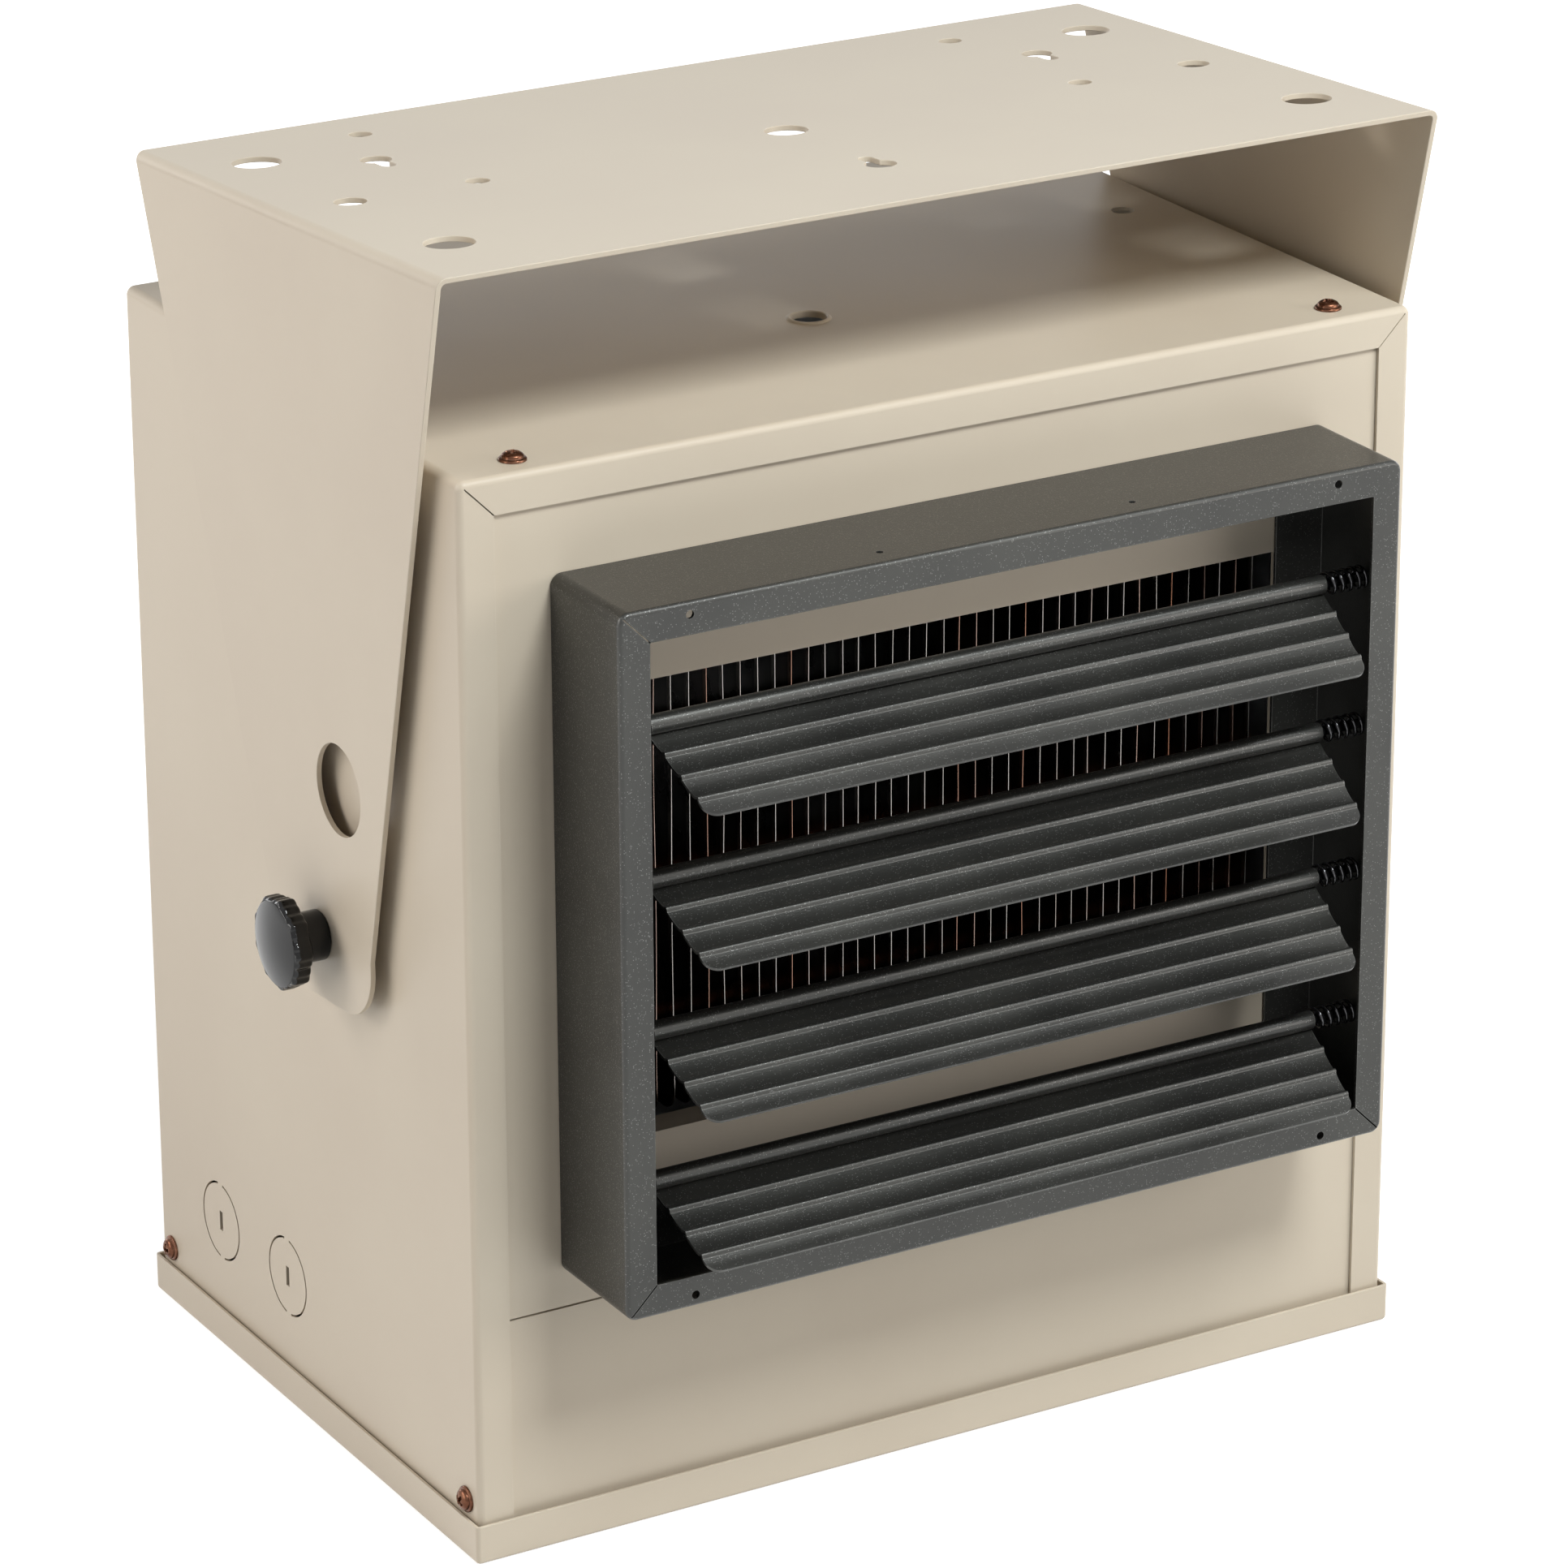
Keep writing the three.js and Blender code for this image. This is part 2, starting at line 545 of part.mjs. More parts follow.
// Lower front: covers the wiring box, and hooks under the deck.
function makeAccessPanel() {
  const top = SLIT_HEIGHT - SLIT_GAP / 2;
  const edge = INNER - SHEET;
  const flankFoot = TRAY_TAB + 2 * GAP;
  return join(
    box(-INNER, INNER, PANEL_FRONT, PANEL_BACK, FOOT, top),
    box(-INNER, INNER, PANEL_FRONT, PANEL_BACK + RETURN, top - SHEET, top),
    box(-INNER, -edge, PANEL_FRONT, PANEL_BACK + RETURN, flankFoot, top),
    box(edge, INNER, PANEL_FRONT, PANEL_BACK + RETURN, flankFoot, top),
  );
}

// Bottom cover: its rim stands outside the walls, and four tabs inside them take the side screws.
function makeTray() {
  const reach = HALF + TRAY_PLAY + SHEET;
  const front = -TRAY_PLAY - SHEET;
  const back = CABINET_DEPTH - front;
  const inside = rectangle(-HALF - TRAY_PLAY, HALF + TRAY_PLAY, -TRAY_PLAY, CABINET_DEPTH + TRAY_PLAY,
    BEND - SHEET, 2);
  const pan = cut(
    extrude("z", -TRAY_RIM, TRAY_RIM, rectangle(-reach, reach, front, back, BEND, 2), [], BEND / 2),
    box(-reach - 1, reach + 1, front - 1, back + 1, -TRAY_RIM - 1, 0),
    box(-reach - 1, reach + 1, front - 1, back + 1, TRAY_RIM - BEND, TRAY_RIM + 1),
  );
  const rim = extrude("z", SHEET, TRAY_RIM, rectangle(-reach, reach, front, back, BEND, 2), [inside]);
  const hollow = extrude("z", SHEET, TRAY_RIM, inside);
  const tabs = SIDE_SCREW_Y.flatMap((y) => [-INNER, INNER - SHEET].map((x) =>
    box(x, x + SHEET, y - TAB_WIDTH / 2, y + TAB_WIDTH / 2, SHEET / 2, TRAY_TAB)));
  const holes = SIDE_SCREW_Y.map((y) => bar("x", -reach, reach, y, SIDE_SCREW_Z, SCREW_HOLE, 8));
  return cut(join(cut(pan, hollow), rim, ...tabs), ...holes);
}

// Back of the case: its round inlet is the fan's intake.
function makeRearPanel() {
  const edge = INNER - SHEET;
  const flankFoot = TRAY_TAB + 2 * GAP;
  const screws = [...REAR_SCREW_Z.flatMap((z) => mirroredX(REAR_SCREW_X, z)), ...GUARD_EARS];
  const panel = join(
    extrude("y", REAR_INNER, REAR_OUTER, rectangle(-INNER, INNER, FOOT, PANEL_TOP), [
      circle(0, FAN_Z, INLET, 32),
      ...screws.map(([x, z]) => circle(x, z, SCREW_HOLE, 8)),
    ]),
    box(-INNER, INNER, REAR_INNER - RETURN, REAR_OUTER, PANEL_TOP - SHEET, PANEL_TOP),
    box(-INNER, -edge, REAR_INNER - RETURN, REAR_OUTER, flankFoot, PANEL_TOP),
    box(edge, INNER, REAR_INNER - RETURN, REAR_OUTER, flankFoot, PANEL_TOP),
  );
  return fitBetweenWalls(panel, REAR_INNER - RETURN, REAR_OUTER);
}

// Shelf between the air chamber and the wiring box.
function makeDeck() {
  const w = INNER - SHEET - GAP;
  const y0 = PANEL_BACK + GAP;
  const y1 = REAR_INNER - GAP;
  const cable = circle(w - DECK_CABLE_HOLE_EDGE, (y0 + y1) / 2, DECK_CABLE_HOLE, 16);
  return join(
    extrude("z", SLIT_HEIGHT, DECK_TOP, rectangle(-w, w, y0, y1), [cable]),
    box(-w, -w + SHEET, y0 + RETURN, y1 - RETURN, DECK_TOP - DECK_FOLD, DECK_TOP),
    box(w - SHEET, w, y0 + RETURN, y1 - RETURN, DECK_TOP - DECK_FOLD, DECK_TOP),
  );
}

// ---- Yoke bracket, drawn from its pivot ---------------------------------------------------------

// Keyhole of the plate: the round end lies at (x, y), and the slot runs along Y towards the middle.
function keyhole(x, y, towards) {
  const slot = KEYHOLE_SLOT / 2;
  const round = KEYHOLE / 2;
  const neck = Math.asin(slot / round);
  const end = KEYHOLE_LENGTH - round - slot;
  const arc = (radius, centre, start, turn, steps) =>
    Array.from({ length: steps + 1 }, (_, k) => {
      const angle = start + (turn * k) / steps;
      const along = centre + radius * Math.cos(angle);
      return new THREE.Vector2(x + radius * Math.sin(angle), y + towards * along);
    });
  return [...arc(round, 0, neck, 2 * Math.PI - 2 * neck, 9), ...arc(slot, end, -Math.PI / 2, Math.PI, 4)];
}

function makeBracket() {
  const taper = [PLATE_HALF, PLATE_RISE];
  const side = outline([
    [-taper[0], taper[1]],
    [-ARM_HALF_WIDTH, 0],
    [-ARM_HALF_WIDTH, -ARM_FOOT, ARM_CORNER],
    [ARM_HALF_WIDTH, -ARM_FOOT, ARM_CORNER],
    [ARM_HALF_WIDTH, 0],
    taper,
  ], 5);
  const shell = (inset, foot) =>
    outline([
      [-ARM_OUTER + inset, foot],
      [ARM_OUTER - inset, foot],
      [ARM_OUTER - inset, PLATE_RISE - inset, BRACKET_BEND - inset],
      [-ARM_OUTER + inset, PLATE_RISE - inset, BRACKET_BEND - inset],
    ], 3);
  const channel = cut(
    extrude("y", -PLATE_HALF, PLATE_HALF, shell(0, -ARM_FOOT)),
    extrude("y", -PLATE_HALF - 1, PLATE_HALF + 1, shell(BRACKET_SHEET, -ARM_FOOT - 1)),
  );
  const sheet = common(channel, extrude("x", -ARM_OUTER - 1, ARM_OUTER + 1, side));
  const holes = [
    ...[-BIG_HOLE_Y, BIG_HOLE_Y].flatMap((y) => mirroredX(BIG_HOLE_X, y))
      .map(([x, y]) => circle(x, y, BIG_HOLE, 14)),
    circle(0, 0, MIDDLE_HOLE, 14),
    ...mirroredX(BIG_HOLE_X, 0).map(([x, y]) => circle(x, y, SIDE_HOLE, 10)),
    ...[0, SMALL_HOLE_Y].flatMap((y) => mirroredX(SMALL_HOLE_X, y))
      .map(([x, y]) => circle(x, y, SMALL_HOLE, 8)),
    ...mirroredX(REAR_KEYHOLE_X, REAR_KEYHOLE_Y).map(([x, y]) => keyhole(x, y, -1)),
    keyhole(0, -FRONT_KEYHOLE_Y, 1),
  ].map((hole) => extrude("z", PLATE_RISE - BRACKET_SHEET - 1, PLATE_RISE + 1, hole));
  return cut(
    sheet,
    ...holes,
    bar("x", -ARM_OUTER - 1, ARM_OUTER + 1, 0, 0, STUD + 3 * STUD_PLAY, 12),
    bar("x", -ARM_OUTER - 1, ARM_OUTER + 1, -ARM_HOLE_FORWARD, ARM_HOLE_RISE, ARM_HOLE, 20),
  );
}

// Knob and stud along +X, from the arm's outer face: a domed face on a rim of shallow lobes.
function makeKnob() {
  const perLobe = 3;
  const rim = Array.from({ length: KNOB_LOBES * perLobe }, (_, i) => {
    const angle = (i / (KNOB_LOBES * perLobe)) * 2 * Math.PI;
    const radius = KNOB / 2 - (LOBE_DEPTH * (1 - Math.cos(KNOB_LOBES * angle))) / 2;
    return new THREE.Vector2(radius * Math.cos(angle), radius * Math.sin(angle));
  });
  const headStart = GAP + KNOB_HUB_LENGTH;
  const headEnd = headStart + KNOB_HEAD;
  const dome = turned([[0, -KNOB_DOME], [KNOB_FACE / 4, -0.75 * KNOB_DOME], [KNOB_FACE / 2, 0],
    [KNOB_FACE / 2, KNOB_DOME], [0, KNOB_DOME]], 18);
  dome.rotateZ(Math.PI / 2).translate(headEnd - KNOB_DOME, 0, 0);
  return join(
    extrude("x", headStart, headEnd - KNOB_DOME, rim, [], 1.2, 1),
    dome,
    bar("x", GAP, headStart + KNOB_HEAD / 2, 0, 0, KNOB_HUB, 16),
    bar("x", GAP - STUD_REACH, headStart, 0, 0, STUD, 12),
  );
}

const makeSpacer = () =>
  extrude("x", HALF + GAP, ARM_INNER - GAP, circle(0, 0, SPACER, 16), [
    circle(0, 0, STUD + 2 * STUD_PLAY, 12),
  ]);

const makeNut = () =>
  extrude("x", INNER - NUT_LENGTH, INNER, circle(0, 0, NUT / Math.cos(Math.PI / 6), 6), [
    circle(0, 0, STUD + 2 * STUD_PLAY, 12),
  ]);

// ---- Louvre -------------------------------------------------------------------------------------

const bladeZ = (index) => FRAME_TOP - BLADE_DROP - index * BLADE_PITCH;

// A deep frame of folded strip: a flange on its face, another on its foot. Blind dimples in the
// side walls hold the pivot rods.
function makeLouvreFrame() {
  const front = -FRAME_PROUD;
  const back = PANEL_FRONT - GAP;
  const ring = (inset, radius) =>
    rectangle(-FRAME_HALF + inset, FRAME_HALF - inset, FRAME_BOTTOM + inset, FRAME_TOP - inset, radius);
  const dimple = SHEET * 0.6;
  const strip = cut(
    extrude("y", front, back, ring(0, FRAME_CORNER), [], FRAME_BEND),
    extrude("y", front + SHEET, back - SHEET, ring(SHEET, FRAME_CORNER - SHEET)),
    extrude("y", front - 1, front + SHEET + 1, ring(FACE_FLANGE, 0)),
    extrude("y", back - SHEET - 1, back + 1, ring(BASE_FLANGE, 0)),
  );
  const faceHoles = [FRAME_BOTTOM + FACE_HOLE_EDGE, FRAME_TOP - FACE_HOLE_EDGE]
    .flatMap((z) => mirroredX(FRAME_HALF - FACE_HOLE_INSET, z))
    .map(([x, z]) => bar("y", front - 1, front + SHEET + 1, x, z, FACE_HOLE, 8));
  const wallHoles = mirroredX(TOP_WALL_HOLE_X, front + TOP_WALL_HOLE_INSET)
    .map(([x, y]) => bar("z", FRAME_TOP - SHEET - 1, FRAME_TOP + 1, x, y, TOP_WALL_HOLE, 8));
  const rodSeats = Array.from({ length: BLADE_COUNT }, (_, i) =>
    bar("x", -FRAME_INSIDE - dimple, FRAME_INSIDE + dimple, BLADE_Y, bladeZ(i), ROD + 2 * ROD_PLAY, 10));
  const mitres = [[-1, FRAME_TOP], [-1, FRAME_BOTTOM], [1, FRAME_BOTTOM]].map(([side, z]) =>
    mitre(side * FRAME_HALF, z, FACE_FLANGE, FRAME_BEND, front - 1, front + SHEET + 1));
  return cut(strip, ...faceHoles, ...wallHoles, ...rodSeats, ...mitres);
}

// Height of the blade's sheet above its lowest plane, at a distance from the pivot.
function ridgeRise(distance) {
  const nearest = Math.round((distance - RIDGE_FIRST) / RIDGE_PITCH);
  const index = THREE.MathUtils.clamp(nearest, 0, RIDGE_COUNT - 1);
  const off = Math.abs(distance - RIDGE_FIRST - index * RIDGE_PITCH) / (RIDGE_WIDTH / 2);
  return off < 1 ? RIDGE_HEIGHT * Math.cos((off * Math.PI) / 2) ** 2 : 0;
}

// One blade about its pivot, reaching forwards along -Y: a roll round the rod, then a sheet that
// leaves the roll's underside and carries pressed ridges. The two lower corners are rounded.
function makeBlade() {
  const roll = ROLL / 2;
  const floor = -roll;
  const stations = [0];
  for (let i = 0; i < RIDGE_COUNT; i++) {
    [-1, -0.5, 0, 0.5, 1].forEach((part) =>
      stations.push(RIDGE_FIRST + i * RIDGE_PITCH + (part * RIDGE_WIDTH) / 2));
  }
  stations.push(BLADE_CHORD);
  const top = stations.map((s) => new THREE.Vector2(-s, floor + BLADE_SHEET + ridgeRise(s)));
  const under = stations.map((s) => new THREE.Vector2(-s, floor + ridgeRise(s)));
  const sheet = extrude("x", -BLADE_HALF, BLADE_HALF, [...top, ...under.reverse()]);
  const rolled = extrude("x", -BLADE_HALF, BLADE_HALF, circle(0, 0, ROLL, 14));
  const plan = outline([
    [-BLADE_HALF, roll + 1],
    [-BLADE_HALF, 0],
    [-BLADE_HALF + BLADE_END_TAPER, -BLADE_CHORD, BLADE_CORNER],
    [BLADE_HALF - BLADE_END_TAPER, -BLADE_CHORD, BLADE_CORNER],
    [BLADE_HALF, 0],
    [BLADE_HALF, roll + 1],
  ], 4);
  const stock = common(join(sheet, rolled), extrude("z", -2 * roll, 2 * roll, plan));
  return cut(stock, bar("x", -BLADE_HALF - 1, BLADE_HALF + 1, 0, 0, ROD + 2 * ROD_PLAY, 10));
}

// Centre line of a spring about the X axis. Both ends run straight for one wire diameter.
function springLine(from, to) {
  const steps = 8 * SPRING_CURLS;
  const radius = (SPRING - SPRING_WIRE) / 2;
  const start = from + SPRING_WIRE;
  const travel = to - from - 2 * SPRING_WIRE;
  const onCurl = (k) => {
    const angle = (k / 8) * 2 * Math.PI;
    const x = start + (travel * k) / steps;
    return new THREE.Vector3(x, radius * Math.cos(angle), radius * Math.sin(angle));
  };
  const curls = Array.from({ length: steps + 1 }, (_, k) => onCurl(k));
  const first = curls[0].clone().setX(from);
  const last = curls[steps].clone().setX(to);
  return [first, ...curls, last];
}

// A closed tube of few sides round a line that turns about the X axis.
function windTube(line, diameter, sides) {
  const ring = line.map((point, i) => {
    const before = line[Math.max(i - 1, 0)];
    const after = line[Math.min(i + 1, line.length - 1)];
    const into = point.clone().sub(before).normalize();
    const out = after.clone().sub(point).normalize();
    const along = into.add(out).normalize();
    const outward = new THREE.Vector3(0, point.y, point.z).normalize();
    const across = new THREE.Vector3().crossVectors(along, outward).normalize();
    outward.crossVectors(across, along);
    return Array.from({ length: sides }, (_, k) => {
      const angle = (k / sides) * 2 * Math.PI;
      return point.clone()
        .addScaledVector(outward, (diameter / 2) * Math.cos(angle))
        .addScaledVector(across, (diameter / 2) * Math.sin(angle));
    });
  });
  const positions = ring.flat().flatMap((point) => point.toArray());
  const index = [];
  for (let i = 0; i + 1 < line.length; i++) {
    for (let k = 0; k < sides; k++) {
      const a = i * sides + k;
      const b = i * sides + ((k + 1) % sides);
      index.push(a, b, a + sides, b, b + sides, a + sides);
    }
  }
  const end = (line.length - 1) * sides;
  for (let k = 1; k + 1 < sides; k++) {
    index.push(0, k + 1, k, end, end + k, end + k + 1);
  }
  const geometry = new THREE.BufferGeometry();
  geometry.setAttribute("position", new THREE.Float32BufferAttribute(positions, 3));
  geometry.setIndex(index);
  geometry.computeVertexNormals();
  return geometry;
}

// Least clear distance between turns of a wound line, measured on points along it.
function leastGap(line, diameter) {
  const curve = new THREE.CatmullRomCurve3(line);
  const length = curve.getLength();
  const count = 40 * SPRING_CURLS;
  const points = curve.getSpacedPoints(count);
  const apart = Math.ceil((3 * diameter * count) / length);
  let least = Infinity;
  points.forEach((a, i) => points.slice(i + apart).forEach((b) => {
    least = Math.min(least, a.distanceTo(b));
  }));
  return least - diameter;
}

// ---- Heating element ----------------------------------------------------------------------------

const tubeZ = (index) => OUTLET_Z + (index - (TUBE_COUNT - 1) / 2) * TUBE_PITCH;
const TUBE_HALF = BANK_HALF + TUBE_OVERHANG;

// Plate fins brazed on straight tubes. Each tube ends in a terminal pin.
function makeElement() {
  const [low, high] = [OUTLET_Z - FIN_HEIGHT / 2, OUTLET_Z + FIN_HEIGHT / 2];
  const back = BANK_FRONT + FIN_DEPTH;
  const plate = outline([[BANK_FRONT, low, FIN_CORNER], [back, low], [back, high],
    [BANK_FRONT, high, FIN_CORNER]], 1);
  const fins = Array.from({ length: FIN_COUNT }, (_, i) => {
    const x = i * FIN_PITCH - BANK_HALF;
    return extrude("x", x - FIN / 2, x + FIN / 2, plate);
  });
  const tubes = Array.from({ length: TUBE_COUNT }, (_, i) => [
    bar("x", -TUBE_HALF, TUBE_HALF, BANK_Y, tubeZ(i), TUBE, 6),
    bar("x", -TUBE_HALF - TERMINAL_LENGTH, TUBE_HALF + TERMINAL_LENGTH, BANK_Y, tubeZ(i), TERMINAL, 6),
  ]).flat();
  return join(...fins, ...tubes);
}

// Carries the tubes at one end of the bank. Its front edge is folded out behind the outlet panel.
function makeEndPlate(side) {
  const inner = side * END_PLATE_X;
  const outer = side * (END_PLATE_X + SHEET);
  const front = PANEL_BACK + GAP;
  const z0 = OUTLET_BOTTOM - END_PLATE_OVERLAP;
  const z1 = OUTLET_TOP + END_PLATE_OVERLAP;
  const holes = Array.from({ length: TUBE_COUNT }, (_, i) =>
    circle(BANK_Y, tubeZ(i), TUBE + 4 * GAP, 8));
  const foot = side * (END_PLATE_X + RETURN);
  return join(
    extrude("x", Math.min(inner, outer), Math.max(inner, outer),
      rectangle(front, front + END_PLATE_DEPTH, z0, z1), holes),
    box(Math.min(inner, foot), Math.max(inner, foot), front, front + SHEET, z0, z1),
  );
}

// ---- Fan ----------------------------------------------------------------------------------------

// One blade of the propeller as a twisted, cambered plate. It grows wider towards its tip, its
// pitch eases off from root to tip, and its tip follows the orifice.
function makeFanBlade(turn) {
  const spans = 3;
  const chords = 4;
  const root = FAN_HUB / 2 - FAN_HUB_DISH;
  const tip = FAN / 2;
  const corner = (i, j, side) => {
    const along = i / spans;
    const across = j / chords - 0.5;
    const radius = THREE.MathUtils.lerp(root, tip, along);
    const pitch = THREE.MathUtils.degToRad(THREE.MathUtils.lerp(ROOT_PITCH, TIP_PITCH, along));
    const chord = THREE.MathUtils.lerp(ROOT_CHORD, TIP_CHORD, Math.sin((along * Math.PI) / 2));
    const bulge = FAN_CAMBER * (1 - 4 * across * across) * along;
    const swing = turn + (across * chord * Math.cos(pitch)) / Math.max(radius, FAN_HUB / 2);
    const lift = across * chord * Math.sin(pitch) + bulge + (side * FAN_SHEET) / 2;
    const taper = 1 - 0.1 * across * across * along;
    return [radius * taper * Math.cos(swing), lift, radius * taper * Math.sin(swing)];
  };
  const positions = [];
  [1, -1].forEach((side) => {
    for (let i = 0; i <= spans; i++) {
      for (let j = 0; j <= chords; j++) positions.push(...corner(i, j, side));
    }
  });
  const row = chords + 1;
  const lower = (spans + 1) * row;
  const index = [];
  const quad = (a, b, c, d) => index.push(a, b, c, a, c, d);
  for (let i = 0; i < spans; i++) {
    for (let j = 0; j < chords; j++) {
      const a = i * row + j;
      quad(a, a + 1, a + row + 1, a + row);
      quad(lower + a, lower + a + row, lower + a + row + 1, lower + a + 1);
    }
  }
  const rim = [
    ...Array.from({ length: chords }, (_, j) => j),
    ...Array.from({ length: spans }, (_, i) => i * row + chords),
    ...Array.from({ length: chords }, (_, j) => spans * row + chords - j),
    ...Array.from({ length: spans }, (_, i) => (spans - i) * row),
  ];
  rim.forEach((a, k) => {
    const b = rim[(k + 1) % rim.length];
    quad(b, a, lower + a, lower + b);
  });
  const geometry = new THREE.BufferGeometry();
  geometry.setAttribute("position", new THREE.Float32BufferAttribute(positions, 3));
  geometry.setIndex(index);
  return geometry;
}

// Propeller about the Y axis: blades on a dished spider, with a boss that takes the shaft.
function makePropeller() {
  const blades = Array.from({ length: FAN_BLADES }, (_, i) =>
    makeFanBlade((i / FAN_BLADES) * 2 * Math.PI));
  const hub = FAN_HUB / 2;
  const dish = FAN_HUB_DISH;
  const spider = turned([[0, -dish], [hub - FAN_HUB_RIM + 1, -dish], [hub, 0], [hub, dish],
    [hub - FAN_HUB_RIM, 0], [0, 0]], 20);
  const neck = FAN_BOSS / 2;
  const end = FAN_BOSS_LENGTH - dish;
  const boss = turned([[0, -dish], [neck, -dish], [neck, end - 1], [neck - 1, end], [0, end]], 12);
  const bore = bar("y", -2 * dish, FAN_BOSS_LENGTH, 0, 0, BEARING, 12);
  return cut(join(spider, boss, ...blades), bore);
}

// Orifice plate: the fan turns inside its collar.
function makeShroud() {
  const edge = INNER - SHEET;
  const z0 = DECK_TOP + GAP;
  const y1 = SHROUD_Y + SHEET;
  const lipRadius = ORIFICE / 2;
  const collar = extrude("y", y1 - SHEET / 2, y1 + COLLAR, circle(0, FAN_Z, ORIFICE + 2 * SHEET, 24), [
    circle(0, FAN_Z, 2 * lipRadius, 24),
  ]);
  const shroud = join(
    extrude("y", SHROUD_Y, y1, rectangle(-INNER, INNER, z0, PANEL_TOP), [
      circle(0, FAN_Z, 2 * lipRadius, 24),
    ]),
    collar,
    box(-INNER, -edge, SHROUD_Y, y1 + RETURN, z0, PANEL_TOP),
    box(edge, INNER, SHROUD_Y, y1 + RETURN, z0, PANEL_TOP),
  );
  return fitBetweenWalls(shroud, SHROUD_Y, y1 + COLLAR);
}

// Motor can about the Y axis, from its front bell to the flat back that sits on the guard.
function makeMotor() {
  const shell = MOTOR / 2;
  const seam = shell - MOTOR_SEAM;
  const bell = shell - MOTOR_BELL;
  const neck = MOTOR_NECK / 2;
  const bore = BEARING / 2;
  const end = MOTOR_LENGTH;
  const front = MOTOR_NECK_LENGTH;
  return turned([
    [0, SHAFT_SEAT], [bore, SHAFT_SEAT], [bore, 0], [neck, 0], [neck, front], [bell, front + 3],
    [seam, front + 7], [seam, front + 11], [shell, front + MOTOR_BELL], [shell, end - MOTOR_BELL - 2],
    [seam, end - MOTOR_BELL - 1], [seam, end - 9], [bell, end], [0, end],
  ], 14);
}

// Wire guard over the inlet, about the Y axis at its middle: rings on four spokes, a plate in the
// middle that carries the motor, and an ear for a screw at the end of each spoke.
const GUARD_EAR_RADIUS = INLET / 2 + GUARD_EAR_OUT;
const GUARD_EARS = [45, 135, 225, 315].map((degrees) => {
  const angle = THREE.MathUtils.degToRad(degrees);
  return [GUARD_EAR_RADIUS * Math.cos(angle), FAN_Z + GUARD_EAR_RADIUS * Math.sin(angle)];
});

function makeGuard() {
  const wire = GUARD_WIRE / 2;
  const plateRadius = GUARD_PLATE / 2;
  const reach = INLET / 2 - wire - GAP;
  const rings = Array.from({ length: GUARD_RINGS }, (_, i) => {
    const radius = THREE.MathUtils.lerp(plateRadius, reach, (i + 1) / GUARD_RINGS);
    const foot = radius - wire;
    return turned([[foot, -wire], [radius + wire, -wire], [radius, wire], [foot, -wire]], 16);
  });
  const spokes = GUARD_EARS.map((_, i) => {
    const spokeEnd = GUARD_EAR_RADIUS - SCREW_WASHER / 2 - GAP;
    const spoke = box(plateRadius - GUARD_SPOKE_LAP, spokeEnd, -wire, wire * 0.6, -wire, wire);
    const ear = bar("y", -wire, -wire + SHEET, GUARD_EAR_RADIUS, 0, GUARD_EAR, 8);
    const hole = bar("y", -GUARD_WIRE, GUARD_WIRE, GUARD_EAR_RADIUS, 0, SCREW_HOLE, 8);
    const drilled = cut(join(spoke, ear), hole);
    return surface(drilled).rotateY(-Math.PI / 4 - (i * Math.PI) / 2);
  });
  const plate = extrude("y", -wire, -wire + SHEET, circle(0, 0, GUARD_PLATE, 16));
  return join(plate, ...rings, ...spokes);
}

// ---- Controls -----------------------------------------------------------------------------------

// A block that hangs under the deck about (x, y).
const hungBlock = (x, y, [width, depth, from, to]) =>
  box(x - width / 2, x + width / 2, y - depth / 2, y + depth / 2, HUNG - to, HUNG - from);

// Barrier strip for the supply wires: a well with a screw for each pole, open at the front and back.
function makeTerminalBlock(x, y) {
  const poles = Array.from({ length: TERMINAL_POLES }, (_, i) =>
    x + (i - (TERMINAL_POLES - 1) / 2) * TERMINAL_PITCH);
  const width = TERMINAL_POLES * TERMINAL_PITCH + TERMINAL_WALL + 1;
  const floor = TERMINAL_HEIGHT - TERMINAL_WELL;
  const well = [TERMINAL_PITCH - TERMINAL_WALL, TERMINAL_DEPTH + 2, floor, TERMINAL_HEIGHT + 1];
  const screwTop = floor - 0.5;
  return join(
    cut(
      hungBlock(x, y, [width, TERMINAL_DEPTH, 0, TERMINAL_HEIGHT]),
      ...poles.map((pole) => hungBlock(pole, y, well)),
    ),
    ...poles.map((pole) =>
      bar("z", HUNG - screwTop - TERMINAL_SCREW_LENGTH, HUNG - screwTop, pole, y, TERMINAL_SCREW, 8)),
  );
}

// Definite purpose contactor: a stepped housing on a mounting plate, with a coil below.
function makeContactor(x, y) {
  return join(
    hungBlock(x, y, CONTACTOR_BASE),
    hungBlock(x, y, CONTACTOR_HOUSING),
    hungBlock(x, y, CONTACTOR_COIL),
    ...[-1, 0, 1].map((pole) => hungBlock(x + pole * CONTACTOR_PITCH, y, CONTACTOR_POLE)),
  );
}

// Control transformer: a laminated core, a winding through it and two feet.
function makeTransformer(x, y) {
  const w = WINDING_WIDTH / 2;
  const d = WINDING_DEPTH / 2;
  const [, , from, to] = TRANSFORMER_CORE;
  return join(
    hungBlock(x, y, TRANSFORMER_CORE),
    extrude("z", HUNG - to + WINDING_MARGIN, HUNG - from - WINDING_MARGIN,
      rectangle(x - w, x + w, y - d, y + d, WINDING_CORNER, 2)),
    hungBlock(x, y, TRANSFORMER_FEET),
  );
}

